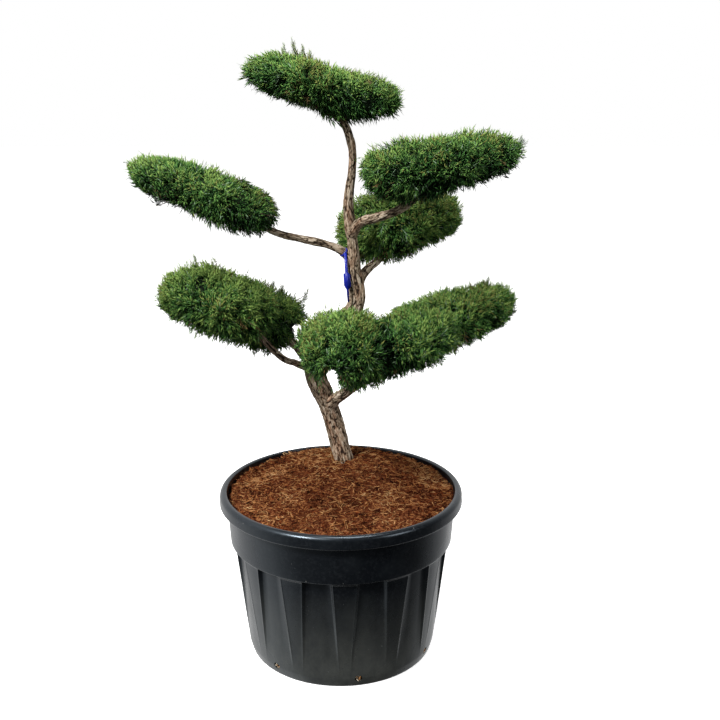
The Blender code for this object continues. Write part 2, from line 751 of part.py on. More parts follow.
# ---------------------------------------------------------------- label
def make_label(material):
    """A loop-lock label: a strap round the left high bough, a wide head and a narrow tail."""
    line = smooth_line(BOUGHS["bough_left_high"][1], BOUGH_STEPS)
    at = line[LABEL_STEP]
    ahead = line[LABEL_STEP + 1, :3] - line[LABEL_STEP - 1, :3]
    ahead /= np.linalg.norm(ahead)
    side = side_of(ahead)
    up = np.cross(side, ahead)
    inner = at[3] + STRAP_GAP
    outer = inner + LABEL_THICKNESS
    shift = ahead * STRAP_WIDTH / 2
    points = []
    for angle in np.linspace(0, 2 * math.pi, STRAP_SIDES, endpoint=False):
        out = side * math.cos(angle) + up * math.sin(angle)
        section = (out * inner - shift, out * outer - shift, out * outer + shift, out * inner + shift)
        points += [at[:3] + corner for corner in section]
    faces = grid_faces(STRAP_SIDES + 1, 4)
    faces = [tuple(i % len(points) for i in face) for face in faces]
    strap = make_object("label", points, faces, material)
    front = at[:3] + side * outer * (1 if side[1] < 0 else -1)
    left = [(-width, -drop) for width, drop in LABEL_OUTLINE]
    outline = left + [(-x, z) for x, z in reversed(left)]
    half = LABEL_THICKNESS / 2
    plate = [front + np.array([x - LABEL_LEAN * z, y, z]) for y in (-half, half) for x, z in outline]
    count = len(outline)
    hanging = hide_cutter(
        make_object("label_plate", plate, grid_faces(2, count) + end_faces(2, count)))
    boolean(strap, "UNION", hanging)
    bpy.data.objects.remove(hanging)
    return strap


# ---------------------------------------------------------------- assembly
def main():
    """Clears the scene and builds every piece."""
    for item in list(bpy.data.objects):
        bpy.data.objects.remove(item)
    plastic = make_material("black_plastic", (0.018, 0.020, 0.022), 0.42)
    compost = make_material("bark_compost", (0.150, 0.060, 0.025), 0.95)
    bark = make_material("bark", (0.230, 0.160, 0.110), 0.90)
    needles = make_material("juniper_green", (0.055, 0.150, 0.030), 0.65)
    blue = make_material("label_blue", (0.010, 0.025, 0.420), 0.40)
    make_pot(plastic)
    make_soil(compost)
    make_limb("trunk", trunk_rings(), bark)
    for name in BOUGHS:
        make_bough(name, bark)
    limbs = limb_lines()
    pads = {name: Pad(name) for name in PADS}
    for name in PADS:
        make_pad(name, pads, limbs, needles)
    make_label(blue)
    for item in bpy.data.objects:
        if item.type == "MESH" and item.name not in PADS:
            item.data.shade_smooth()
            item.data.set_sharp_from_angle(angle=math.radians(40))


main()
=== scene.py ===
"""The finished look of a cloud-pruned Pfitzer juniper in a fluted nursery pot, in metres."""

import math

import bmesh
import bpy
import numpy as np
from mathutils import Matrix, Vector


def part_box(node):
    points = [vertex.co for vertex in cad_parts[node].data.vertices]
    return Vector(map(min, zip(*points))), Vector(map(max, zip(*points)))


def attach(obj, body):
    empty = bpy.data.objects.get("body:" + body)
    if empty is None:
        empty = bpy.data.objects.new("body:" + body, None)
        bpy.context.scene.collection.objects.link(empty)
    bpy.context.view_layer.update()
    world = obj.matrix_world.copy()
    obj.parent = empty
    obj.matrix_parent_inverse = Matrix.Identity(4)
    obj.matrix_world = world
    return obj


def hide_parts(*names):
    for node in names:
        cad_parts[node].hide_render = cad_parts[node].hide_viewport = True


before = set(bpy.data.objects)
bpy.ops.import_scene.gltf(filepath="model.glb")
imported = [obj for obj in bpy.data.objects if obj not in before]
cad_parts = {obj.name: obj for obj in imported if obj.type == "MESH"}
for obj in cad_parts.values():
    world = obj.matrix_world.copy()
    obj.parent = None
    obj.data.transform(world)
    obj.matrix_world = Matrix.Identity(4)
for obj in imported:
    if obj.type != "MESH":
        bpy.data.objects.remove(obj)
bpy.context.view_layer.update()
scene = bpy.context.scene


# ---------------------------------------------------------------- studio
# A white room with a pale floor. A broad lamp stands high on the plant's left, a weaker one on its
# right and one overhead, all large, so that shadows stay soft. Little light comes from below.
EYE = (0.067, -3.297, 1.965)
LOOKING_DOWN = math.radians(15.38)
LENS = 50.0  # millimetres
SENSOR = 36.0
FLOOR_SIZE = 60.0
FLOOR_GAP = 0.0006  # the floor lies this far under the pot
ROOM_LIGHT = 0.40  # from above
LOW_LIGHT = 0.17  # from below
FLOOR_GLOW = 0.75  # keeps the floor as pale as the room at any distance

# How bright the room is in a gloss, by the share of a turn: left 0, front 0.25, right 0.5, back 0.75.
SHEEN = ((0.00, 1.00), (0.12, 0.24), (0.25, 0.06), (0.38, 0.03), (0.50, 0.06), (0.57, 0.45),
         (0.66, 0.90), (0.80, 1.00), (1.00, 1.00))

scene.view_settings.view_transform = "Standard"

camera = bpy.data.objects.new("camera", bpy.data.cameras.new("camera"))
camera.location = EYE
camera.rotation_euler = (math.pi / 2 - LOOKING_DOWN, 0.0, 0.0)
camera.data.lens = LENS
camera.data.sensor_width = SENSOR
scene.collection.objects.link(camera)
scene.camera = camera


def softbox(name, place, target, size, watts):
    """A square area lamp at place that faces target."""
    lamp = bpy.data.lights.new(name, "AREA")
    lamp.size = size
    lamp.energy = watts
    stand = bpy.data.objects.new(name, lamp)
    stand.location = place
    away = np.array(place) - np.array(target)
    stand.rotation_euler = (
        math.atan2(math.hypot(away[0], away[1]), away[2]), 0.0, math.atan2(away[0], -away[1]))
    scene.collection.objects.link(stand)


softbox("left_lamp", (-4.6, -5.2, 7.4), (0.0, 0.0, 1.1), 2.0, 1300)
softbox("right_lamp", (5.5, -4.0, 4.0), (0.0, 0.0, 1.0), 2.6, 130)
softbox("top_lamp", (0.5, -0.5, 9.0), (0.0, 0.0, 1.2), 3.0, 500)


def surface_finish(name, roughness, specular=0.5):
    """A new Principled material: the material, its node tree and its shader."""
    material = bpy.data.materials.new(name)
    material.use_nodes = True
    tree = material.node_tree
    shader = tree.nodes["Principled BSDF"]
    shader.inputs["Roughness"].default_value = roughness
    shader.inputs["Specular IOR Level"].default_value = specular
    return material, tree, shader


def object_place(tree, scale=(1.0, 1.0, 1.0)):
    """The socket that gives each point's place on the object, scaled along its axes."""
    place = tree.nodes.new("ShaderNodeTexCoord")
    mapping = tree.nodes.new("ShaderNodeMapping")
    mapping.inputs["Scale"].default_value = scale
    tree.links.new(place.outputs["Object"], mapping.inputs["Vector"])
    return mapping.outputs["Vector"]


def grain_noise(tree, place, scale, detail=4.0, roughness=0.55):
    """The socket of a cloudy pattern, from 0 to 1, with scale clouds to the metre."""
    noise = tree.nodes.new("ShaderNodeTexNoise")
    noise.inputs["Scale"].default_value = scale
    noise.inputs["Detail"].default_value = detail
    noise.inputs["Roughness"].default_value = roughness
    tree.links.new(place, noise.inputs["Vector"])
    return noise.outputs["Fac"]


def colour_steps(tree, value, steps):
    """The socket of a colour that runs through the steps, each a value and a colour."""
    ramp = tree.nodes.new("ShaderNodeValToRGB")
    ramp.color_ramp.elements[1].position = steps[-1][0]
    ramp.color_ramp.elements[1].color = (*steps[-1][1], 1.0)
    ramp.color_ramp.elements[0].position = steps[0][0]
    ramp.color_ramp.elements[0].color = (*steps[0][1], 1.0)
    for position, colour in steps[1:-1]:
        ramp.color_ramp.elements.new(position).color = (*colour, 1.0)
    tree.links.new(value, ramp.inputs["Fac"])
    return ramp.outputs["Color"]


def spread(tree, value, low, high, low_to=0.0, high_to=1.0):
    """The socket of a value stretched from low..high to low_to..high_to, and held there."""
    stretch = tree.nodes.new("ShaderNodeMapRange")
    for socket, number in zip(("From Min", "From Max", "To Min", "To Max"),
                              (low, high, low_to, high_to)):
        stretch.inputs[socket].default_value = number
    tree.links.new(value, stretch.inputs["Value"])
    return stretch.outputs["Result"]


def add_piece(name, points, face_groups, materials, numbers=None, smooth=True):
    """A mesh object from whole arrays.

    face_groups is a list of arrays, each with one row of corners for a face. numbers gives each
    face's material as its place in materials.
    """
    mesh = bpy.data.meshes.new(name)
    mesh.vertices.add(len(points))
    mesh.vertices.foreach_set("co", np.asarray(points, np.float32).ravel())
    corners = np.concatenate([group.ravel() for group in face_groups]).astype(np.int32)
    sizes = np.concatenate([np.full(len(group), group.shape[1]) for group in face_groups])
    mesh.loops.add(len(corners))
    mesh.loops.foreach_set("vertex_index", corners)
    mesh.polygons.add(len(sizes))
    mesh.polygons.foreach_set("loop_start", (np.cumsum(sizes) - sizes).astype(np.int32))
    if numbers is not None:
        mesh.polygons.foreach_set("material_index", np.asarray(numbers, np.int32))
    mesh.update(calc_edges=True)
    for material in materials:
        mesh.materials.append(material)
    if smooth:
        mesh.shade_smooth()
    piece = bpy.data.objects.new(name, mesh)
    scene.collection.objects.link(piece)
    return piece


def room_background(tree, strength):
    """A white background shader whose strength is a socket or a number."""
    background = tree.nodes.new("ShaderNodeBackground")
    background.inputs["Color"].default_value = (1.0, 1.0, 1.0, 1.0)
    if isinstance(strength, float):
        background.inputs["Strength"].default_value = strength
    else:
        tree.links.new(strength, background.inputs["Strength"])
    return background.outputs["Background"]


def either_shader(tree, share, first, second):
    """The shader socket of first, or of second where share is 1."""
    mix = tree.nodes.new("ShaderNodeMixShader")
    tree.links.new(share, mix.inputs["Fac"])
    tree.links.new(first, mix.inputs[1])
    tree.links.new(second, mix.inputs[2])
    return mix.outputs["Shader"]


# The room is seen white, lights from above, and is mirrored in glosses as SHEEN says.
world = bpy.data.worlds.new("white_room")
world.use_nodes = True
tree = world.node_tree
tree.nodes.remove(tree.nodes["Background"])
heading = tree.nodes.new("ShaderNodeTexCoord")
height = tree.nodes.new("ShaderNodeSeparateXYZ")
tree.links.new(heading.outputs["Generated"], height.inputs["Vector"])
soft_light = spread(tree, height.outputs["Z"], -0.5, 0.7, LOW_LIGHT, ROOM_LIGHT)
turn = tree.nodes.new("ShaderNodeTexGradient")
turn.gradient_type = "RADIAL"
tree.links.new(heading.outputs["Generated"], turn.inputs["Vector"])
sheen = colour_steps(tree, turn.outputs["Fac"], [(share, (glow,) * 3) for share, glow in SHEEN])
ray = tree.nodes.new("ShaderNodeLightPath")
room = either_shader(tree, ray.outputs["Is Glossy Ray"], room_background(tree, soft_light),
                     room_background(tree, sheen))
room = either_shader(tree, ray.outputs["Is Camera Ray"], room, room_background(tree, 1.0))
tree.links.new(room, tree.nodes["World Output"].inputs["Surface"])
scene.world = world

floor_finish, floor_tree, floor_shader = surface_finish("pale_floor", 0.9, 0.1)
floor_cloud = grain_noise(floor_tree, object_place(floor_tree), 3.0)
floor_tree.links.new(
    colour_steps(floor_tree, floor_cloud, ((0.3, (0.90, 0.90, 0.90)), (0.7, (0.92, 0.92, 0.92)))),
    floor_shader.inputs["Base Color"])
floor_shader.inputs["Emission Color"].default_value = (1.0, 1.0, 1.0, 1.0)
floor_shader.inputs["Emission Strength"].default_value = FLOOR_GLOW
floor_corners = np.array([(-0.5, -0.5), (0.5, -0.5), (0.5, 0.5), (-0.5, 0.5)]) * FLOOR_SIZE
floor = add_piece(
    "floor", np.column_stack([floor_corners, np.full(4, -FLOOR_GAP)]),
    [np.array([[0, 1, 2, 3]])], [floor_finish])
floor.visible_glossy = False
floor.visible_diffuse = False


# ---------------------------------------------------------------- pot
# A black nursery pot, injection-moulded in one piece of polythene: a rolled rim, a smooth band, a
# shoulder, and a tapering body stiffened by thirteen ribs between wide flutes, with seven drain holes.
_, pot_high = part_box("pot")
POT_HEIGHT = pot_high.z
RIM_RADIUS = pot_high.x
RIM_DROP = 0.047  # height of the rolled rim
RIM_ROUND = 0.012
MOUTH_RADIUS = 0.402
MOUTH_DROP = 0.030  # how far down the mouth goes over into the wall
BAND_TOP_RADIUS = 0.4020
BAND_FOOT = 0.416  # heights of the band's foot and of the shoulder's
BAND_FOOT_RADIUS = 0.3925
BODY_TOP = 0.404
BODY_TOP_RADIUS = 0.3790
BODY_FOOT = 0.034
BODY_FOOT_RADIUS = 0.3360
BASE_RADIUS = 0.3280
WALL = 0.0045
FLOOR_THICKNESS = 0.0065
FLUTE_COUNT = 13
FLUTE_FIRST = math.radians(16.7)
FLUTE_DEPTH = 0.013
FLUTE_FADE = 0.050  # height where a flute runs out
FLUTE_HALF_TOP = math.radians(7.8)
FLUTE_HALF_FOOT = math.radians(10.8)
FLUTE_SIDE = math.radians(1.6)  # angle that a flute's side wall takes
FLUTE_BEAD = 0.0008  # the raised line along a rib's edge
BEAD_WIDTH = math.radians(0.30)
HOLE_COUNT = 7
HOLE_FIRST = math.radians(10.7)
HOLE_WIDTH = 0.025
HOLE_HEIGHT = 0.021
HOLE_CENTRE = 0.035
HOLE_ROUND = 0.004
HOLE_CUT = 0.076  # length of the punch that cuts it
ROW_STEP = 0.018  # the furthest that two rows of points lie apart on the wall
SHARP_FROM = math.radians(48)  # an edge that turns further than this stays crisp


def rounded_line(corners, arc_steps=5):
    """A line through corners (radius, height, rounding), each one rounded.

    Between the points a rounding before and after the corner c runs the curve
    (1 - t)^2 * before + 2 t (1 - t) * c + t^2 * after.
    """
    places = np.array([corner[:2] for corner in corners])
    parts = [places[:1]]
    t = np.linspace(0, 1, arc_steps)[:, None]
    for before, here, after, (_, _, rounding) in zip(places, places[1:], places[2:], corners[1:]):
        start = here + (before - here) / np.linalg.norm(before - here) * rounding
        end = here + (after - here) / np.linalg.norm(after - here) * rounding
        parts.append((1 - t) ** 2 * start + 2 * t * (1 - t) * here + t**2 * end)
    return np.vstack([*parts, places[-1:]])


def evenly_split(line, step):
    """The line with points added so that neighbours lie no further apart than step."""
    gaps = np.linalg.norm(np.diff(line, axis=0), axis=1)
    counts = np.maximum(1, np.ceil(gaps / step)).astype(int)
    parts = [a + (b - a) * np.linspace(0, 1, n, endpoint=False)[:, None]
             for a, b, n in zip(line, line[1:], counts)]
    return np.vstack([*parts, line[-1:]])


def wrapped_faces(rows, columns, first=0):
    """Quads of a grid of rows whose last column joins its first, turned for rows that go up."""
    low = first + np.arange(rows - 1)[:, None] * columns
    here, following = np.arange(columns), (np.arange(columns) + 1) % columns
    quads = np.stack(
        [low + here, low + following, low + columns + following, low + columns + here], axis=-1)
    return quads.reshape(-1, 4)


def pole_faces(ring, pole, upper):
    """Triangles from a ring of point numbers to a pole, facing up or down."""
    following = np.roll(ring, -1)
    pair = (ring, following) if upper else (following, ring)
    return np.column_stack([*pair, np.full(len(ring), pole)])


rim_foot = POT_HEIGHT - RIM_DROP
wall_line = evenly_split(rounded_line((
    (0.002, 0.0, 0.0),
    (BASE_RADIUS - 0.006, 0.0, 0.004),
    (BASE_RADIUS, 0.004, 0.003),
    (BODY_FOOT_RADIUS, BODY_FOOT, 0.004),
    (BODY_TOP_RADIUS, BODY_TOP, 0.003),
    (BAND_FOOT_RADIUS, BAND_FOOT, 0.004),
    (BAND_TOP_RADIUS, rim_foot, 0.003),
    (RIM_RADIUS - 0.003, rim_foot, 0.0025),
    (RIM_RADIUS, rim_foot + 0.004, 0.002),
    (RIM_RADIUS - 0.0015, POT_HEIGHT - RIM_ROUND, 0.006),
    (RIM_RADIUS - RIM_ROUND, POT_HEIGHT, 0.009),
    (MOUTH_RADIUS, POT_HEIGHT - 0.004, 0.003),
    (MOUTH_RADIUS - 0.0035, POT_HEIGHT - MOUTH_DROP, 0.002),
    (BAND_FOOT_RADIUS - WALL, BAND_FOOT + WALL, 0.003),
    (BODY_TOP_RADIUS - WALL, BODY_TOP + WALL, 0.002),
    (BODY_FOOT_RADIUS - WALL, BODY_FOOT, 0.004),
    (BASE_RADIUS - WALL, FLOOR_THICKNESS, 0.004),
    (0.002, FLOOR_THICKNESS, 0.0))), ROW_STEP)
wall_radius, wall_height = wall_line[:, 0], wall_line[:, 1]
is_wall = wall_radius > BASE_RADIUS - 2 * WALL

# Across one flute the knots are: rib, edge, floor, floor, edge, rib. Columns crowd the edges.
flute_pitch = 2 * math.pi / FLUTE_COUNT
flute_half = np.interp(wall_height, (FLUTE_FADE, BODY_TOP), (FLUTE_HALF_FOOT, FLUTE_HALF_TOP))
flute_depth = np.interp(wall_height, (FLUTE_FADE, BODY_TOP, BAND_FOOT), (0.0, FLUTE_DEPTH, 0.0))
flute_depth = np.where(is_wall, flute_depth, 0.0)
half_knots = np.array([0.0, 0.3, 0.6, 0.85, 0.93, 0.965, 1.0, 1.12, 1.26, 1.45, 1.7, 2.0, 2.25])
column_knots = np.concatenate([half_knots, [2.5], 5.0 - half_knots[:0:-1]])
knot_angles = np.stack([
    np.full_like(flute_half, -flute_pitch / 2), -flute_half, FLUTE_SIDE - flute_half,
    flute_half - FLUTE_SIDE, flute_half, np.full_like(flute_half, flute_pitch / 2)], axis=1)
knot_shares = np.maximum(0.0, 1 - np.abs(column_knots[None, :] - np.arange(6)[:, None]))
flute_offsets = knot_angles @ knot_shares
side_share = np.clip((flute_half[:, None] - np.abs(flute_offsets)) / FLUTE_SIDE, 0, 1)
side_share = side_share**2 * (3 - 2 * side_share)
edge_bead = np.exp(-(((np.abs(flute_offsets) - flute_half[:, None]) / BEAD_WIDTH) ** 2))
flute_inset = flute_depth[:, None] * side_share
bead_share = np.clip(4 * flute_depth / FLUTE_DEPTH, 0, 1)
flute_inset -= FLUTE_BEAD * edge_bead * bead_share[:, None]
middles = FLUTE_FIRST + flute_pitch * np.arange(FLUTE_COUNT)
pot_angles = (middles[None, :, None] + flute_offsets[:, None, :]).reshape(len(wall_line), -1)
pot_radii = wall_radius[:, None] - np.tile(flute_inset, (1, FLUTE_COUNT))
pot_grid = np.stack([
    pot_radii * np.sin(pot_angles), -pot_radii * np.cos(pot_angles),
    np.broadcast_to(wall_height[:, None], pot_radii.shape)], axis=-1)
pot_rows, pot_columns = pot_radii.shape
pot_points = np.vstack([
    pot_grid.reshape(-1, 3), (0.0, 0.0, 0.0), (0.0, 0.0, FLOOR_THICKNESS)])
last_row = np.arange(pot_columns) + (pot_rows - 1) * pot_columns
pot_faces = [
    wrapped_faces(pot_rows, pot_columns),
    pole_faces(np.arange(pot_columns), pot_rows * pot_columns, upper=False),
    pole_faces(last_row, pot_rows * pot_columns + 1, upper=True)]


def mixed(tree, share, first, second):
    """The socket of two colours mixed: a colour is a socket or three numbers."""
    mix = tree.nodes.new("ShaderNodeMix")
    mix.data_type = "RGBA"
    tree.links.new(share, mix.inputs["Factor"])
    for value, socket in ((first, mix.inputs[6]), (second, mix.inputs[7])):
        if isinstance(value, tuple):
            socket.default_value = (*value, 1.0)
        else:
            tree.links.new(value, socket)
    return mix.outputs[2]


def relief_bump(tree, shader, height, distance, strength=1.0):
    """Turns a height pattern into bumps of that distance on the shader's surface."""
    bump = tree.nodes.new("ShaderNodeBump")
    bump.inputs["Distance"].default_value = distance
    bump.inputs["Strength"].default_value = strength
    tree.links.new(height, bump.inputs["Height"])
    tree.links.new(bump.outputs["Normal"], shader.inputs["Normal"])


# Black polythene, faintly clouded, with scuffs and pale specks, and lighter low down: a film of
# dried dust there, which also stands as a painted reflection of the pale floor.
pot_plastic, tree, shader = surface_finish("pot_plastic", 0.3, 0.5)
shader.inputs["Specular Tint"].default_value = (0.74, 0.88, 1.0, 1.0)
place = object_place(tree)
cloud = grain_noise(tree, place, 6.0, 6.0)
base = colour_steps(tree, cloud, (
    (0.30, (0.0010, 0.0014, 0.0026)), (0.55, (0.0018, 0.0026, 0.0042)),
    (0.75, (0.0050, 0.0062, 0.0080))))
height = tree.nodes.new("ShaderNodeSeparateXYZ")
tree.links.new(place, height.inputs["Vector"])
# Lighter towards the foot: dried dust, with a painted reflection of the floor, which is hidden from
# glosses.
dust_and_reflection = tree.nodes.new("ShaderNodeMath")
dust_and_reflection.operation = "MULTIPLY"
tree.links.new(spread(tree, height.outputs["Z"], 0.0, 0.38, 1.0, 0.03), dust_and_reflection.inputs[0])
tree.links.new(spread(tree, grain_noise(tree, object_place(tree, (9.0, 9.0, 5.0)), 1.0, 7.0, 0.7),
                      0.30, 0.68, 0.35, 1.0), dust_and_reflection.inputs[1])
base = mixed(tree, dust_and_reflection.outputs[0], base, (0.072, 0.075, 0.068))
mottle = grain_noise(tree, place, 90.0, 5.0, 0.7)
base = mixed(tree, spread(tree, mottle, 0.48, 0.72, 0.0, 0.35), base, (0.024, 0.027, 0.030))
scuffs = grain_noise(tree, object_place(tree, (14.0, 14.0, 120.0)), 1.0, 5.0, 0.6)
base = mixed(tree, spread(tree, scuffs, 0.66, 0.80, 0.0, 0.5), base, (0.045, 0.048, 0.050))
specks = grain_noise(tree, place, 110.0, 1.0)
base = mixed(tree, spread(tree, specks, 0.79, 0.82, 0.0, 0.5), base, (0.30, 0.30, 0.28))
tree.links.new(base, shader.inputs["Base Color"])
tree.links.new(spread(tree, cloud, 0.3, 0.7, 0.20, 0.34), shader.inputs["Roughness"])
relief_bump(tree, shader, grain_noise(tree, place, 420.0, 3.0), 0.0003, 0.25)

pot = add_piece("nursery_pot", pot_points, pot_faces, [pot_plastic])
for k in range(HOLE_COUNT):
    shape = bmesh.new()
    bmesh.ops.create_cube(shape, size=1.0)
    bmesh.ops.scale(shape, vec=(HOLE_WIDTH, HOLE_CUT, HOLE_HEIGHT), verts=shape.verts)
    bmesh.ops.bevel(shape, geom=shape.edges[:], offset=HOLE_ROUND, segments=3, affect="EDGES")
    punch_mesh = bpy.data.meshes.new("drain_punch")
    shape.to_mesh(punch_mesh)
    shape.free()
    punch = bpy.data.objects.new("drain_punch", punch_mesh)
    turn = HOLE_FIRST + k * 2 * math.pi / HOLE_COUNT
    punch.location = (
        BODY_FOOT_RADIUS * math.sin(turn), -BODY_FOOT_RADIUS * math.cos(turn), HOLE_CENTRE)
    punch.rotation_euler[2] = turn
    scene.collection.objects.link(punch)
    cut = pot.modifiers.new("drain_hole", "BOOLEAN")
    cut.operation = "DIFFERENCE"
    cut.solver = "MANIFOLD"
    cut.object = punch
    drilled = bpy.data.meshes.new_from_object(
        pot.evaluated_get(bpy.context.evaluated_depsgraph_get()))
    pot.modifiers.clear()
    pot.data = drilled
    bpy.data.objects.remove(punch)
pot.data.shade_smooth()
pot.data.set_sharp_from_angle(angle=SHARP_FROM)
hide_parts("pot")
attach(pot, "root")


# ---------------------------------------------------------------- compost
# The pot's fill, a coarse mix of composted bark and coir: a mound that rises to the trunk, with a
# felt of short curved fibres and flat chips thrown over it, and a gap where it has shrunk back.
SOIL_EDGE = 0.575  # heights of the fill at the pot's wall and at the trunk
SOIL_FOOT = 0.6340
TRUNK_FOOT = (0.008, 0.165)
FOOT_PLACE = 0.075  # radius of the mound's top round the trunk's foot
FILL_RADIUS = 0.3980
SKIRT = 0.08  # how far the fill's side is carried down inside the pot
SHRINK = 0.012  # how far the fill has sunk at its edge
FIBRE_COUNT = 9900
CHIP_COUNT = 2600
LITTER_COUNT = 44  # shreds in each drain hole
LITTER_REACH = 0.0115  # how far a shred may run from the middle of its hole
LITTER_SHARES = (0.35, 0.20, 0.45)  # of black bark, tan coir and pale roots


def cloud_values(points, seed):
    """Smooth chance values from 0 to 1 in space, one to a unit.

    Each whole-number corner has a random value, and inside a cell the eight corners are blended
    by 3t^2 - 2t^3 along each axis.
    """
    table = np.random.default_rng(seed).random((32, 32, 32))
    cell = np.floor(points).astype(int)
    t = points - cell
    t = t * t * (3 - 2 * t)
    value = np.zeros(points.shape[:-1])
    for corner in np.ndindex(2, 2, 2):
        weight = np.prod(np.where(corner, t, 1 - t), axis=-1)
        i, j, k = np.moveaxis((cell + corner) % 32, -1, 0)
        value += weight * table[i, j, k]
    return value


def mound_point(angles, shares):
    """The mound's surface: out from the edge (share 0) towards the trunk's foot (share 1).

    The height is edge + (foot - edge) * sin(share * pi / 2), roughened by three sizes of cloud.
    """
    edge = FILL_RADIUS * np.stack([np.sin(angles), -np.cos(angles)], axis=-1)
    foot = np.array(TRUNK_FOOT) + FOOT_PLACE * edge / FILL_RADIUS
    flat = edge + (foot - edge) * shares[..., None]
    rise = SOIL_EDGE + (SOIL_FOOT - SOIL_EDGE) * np.sin(np.clip(shares, 0, 1) * math.pi / 2)
    rise -= SHRINK * np.exp(-shares / 0.035) * (0.6 + 0.5 * np.sin(angles + 2.6))
    spot = np.concatenate([flat, np.zeros_like(flat[..., :1])], axis=-1)
    rise += 0.012 * (cloud_values(spot * 26, 31) - 0.5) + 0.013 * (cloud_values(spot * 70, 32) - 0.5)
    rise += 0.008 * (cloud_values(spot * 150, 33) - 0.5)
    return np.concatenate([flat, rise[..., None]], axis=-1)


mound_angles, mound_shares = np.meshgrid(
    np.linspace(0, 2 * math.pi, 300, endpoint=False), np.linspace(0, 1.15, 70) ** 1.15)
mound_grid = mound_point(mound_angles, mound_shares)
skirt = mound_grid[:1] * (0.99, 0.99, 0.0) + (0.0, 0.0, SOIL_EDGE - SKIRT)
mound_grid = np.concatenate([skirt, mound_grid])
mound_rows, mound_columns = mound_grid.shape[:2]
mound_points = np.vstack([
    mound_grid.reshape(-1, 3), (0.0, 0.0, SOIL_EDGE - SKIRT), mound_grid[-1].mean(axis=0)])
mound_last = np.arange(mound_columns) + (mound_rows - 1) * mound_columns
mound_faces = [
    wrapped_faces(mound_rows, mound_columns),
    pole_faces(np.arange(mound_columns), mound_rows * mound_columns, upper=False),
    pole_faces(mound_last, mound_rows * mound_columns + 1, upper=True)]

compost_finish, tree, shader = surface_finish("compost", 0.95, 0.05)
place = object_place(tree)
crumbs = grain_noise(tree, place, 150.0, 6.0, 0.7)
tree.links.new(colour_steps(tree, crumbs, (
    (0.36, (0.014, 0.003, 0.001)), (0.50, (0.075, 0.018, 0.006)), (0.64, (0.240, 0.098, 0.038)))),
    shader.inputs["Base Color"])
relief_bump(tree, shader, crumbs, 0.004)
compost = add_piece("compost", mound_points, mound_faces, [compost_finish])
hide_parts("soil")
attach(compost, "root")


def unit(vectors):
    """The vectors at a length of one."""
    return vectors / (np.linalg.norm(vectors, axis=-1, keepdims=True) + 1e-12)


def carried_sections(lines, sides):
    """Round sections carried along many lines (n, steps, centre and radius) at once.

    The point at angle a is centre + radius * (side * cos a + up * sin a), where side is square to
    the line and to the axis of space that the whole line keeps furthest from.
    """
    ahead = unit(np.gradient(lines[..., :3], axis=1))
    axis = np.eye(3)[np.abs(ahead).max(axis=1).argmin(axis=-1)][:, None]
    side = unit(np.cross(ahead, axis))
    up = np.cross(ahead, side)
    a = np.linspace(0, 2 * math.pi, sides, endpoint=False)[:, None]
    outward = np.cos(a) * side[..., None, :] + np.sin(a) * up[..., None, :]
    return lines[:, :, None, :3] + lines[:, :, None, 3:] * outward, outward


def slim_tubes(lines):
    """Points and faces of three-sided tubes along many lines, closed by a triangle at each end."""
    sections, _ = carried_sections(lines, 3)
    count, steps = lines.shape[:2]
    quads = wrapped_faces(steps, 3)
    starts = np.arange(count)[:, None, None] * steps * 3
    ends = np.array([[2, 1, 0], [steps * 3 - 3, steps * 3 - 2, steps * 3 - 1]])
    return sections.reshape(-1, 3), [
        (starts + quads).reshape(-1, 4), (starts + ends).reshape(-1, 3)]


def plain_finish(name, colour, roughness=0.8):
    """A material of one colour, for shreds and needles that get theirs by the piece."""
    material, _, shader = surface_finish(name, roughness, 0.03)
    shader.inputs["Base Color"].default_value = (*colour, 1.0)
    return material


SHRED_COLOURS = {
    "black_bark": (0.014, 0.003, 0.001),
    "maroon_bark": (0.060, 0.011, 0.003),
    "red_bark": (0.165, 0.044, 0.014),
    "orange_coir": (0.330, 0.135, 0.046),
    "tan_coir": (0.460, 0.235, 0.095),
    "straw": (0.560, 0.350, 0.160),
}
SHRED_SHARES = (0.15, 0.19, 0.21, 0.24, 0.19, 0.02)
shred_finishes = [plain_finish(name, colour, 0.9) for name, colour in SHRED_COLOURS.items()]


def shred_kinds(points, dice):
    """Each shred's colour by chance, the dark ones gathered in some patches, the pale in others."""
    patches = cloud_values(points * (13, 13, 0), 91) + 0.5 * cloud_values(points * (34, 34, 0), 92)
    luck = 0.66 * dice.random(len(points)) + 0.34 * np.clip((patches - 0.30) / 0.90, 0, 1)
    ranks = luck.argsort().argsort() / len(points)
    return np.searchsorted(np.cumsum(SHRED_SHARES)[:-1], ranks)


# A fibre lies along the mound: its middle is strewn evenly, it bends as a shallow arc, and it is
# thickest in the middle.
shred_run = np.linspace(-0.5, 0.5, 4)
shred_arc = 1 - 4 * shred_run**2
shred_girth = 1.05 - 2.6 * shred_run**2
dice = np.random.default_rng(41)
strewn = dice.uniform(0, 1, FIBRE_COUNT + CHIP_COUNT)
strewn_radius = np.sqrt(0.03**2 + (FILL_RADIUS**2 - 0.03**2) * strewn)
strewn_shares = (FILL_RADIUS - strewn_radius) / (FILL_RADIUS - FOOT_PLACE)
strewn_angles = dice.uniform(0, 2 * math.pi, len(strewn))
middles = mound_point(strewn_angles, strewn_shares)
fibre_middles = middles[:FIBRE_COUNT]
heading = dice.uniform(0, 2 * math.pi, FIBRE_COUNT)
lie = np.stack([np.cos(heading), np.sin(heading), dice.normal(0, 0.20, FIBRE_COUNT)], axis=-1)
bend = np.stack([-np.sin(heading), np.cos(heading), dice.normal(0, 0.3, FIBRE_COUNT)], axis=-1)
fibre_length = dice.uniform(0.009, 0.034, FIBRE_COUNT)
fibre_curve = dice.normal(0, 0.30, FIBRE_COUNT)
fibre_lines = np.empty((FIBRE_COUNT, 4, 4))
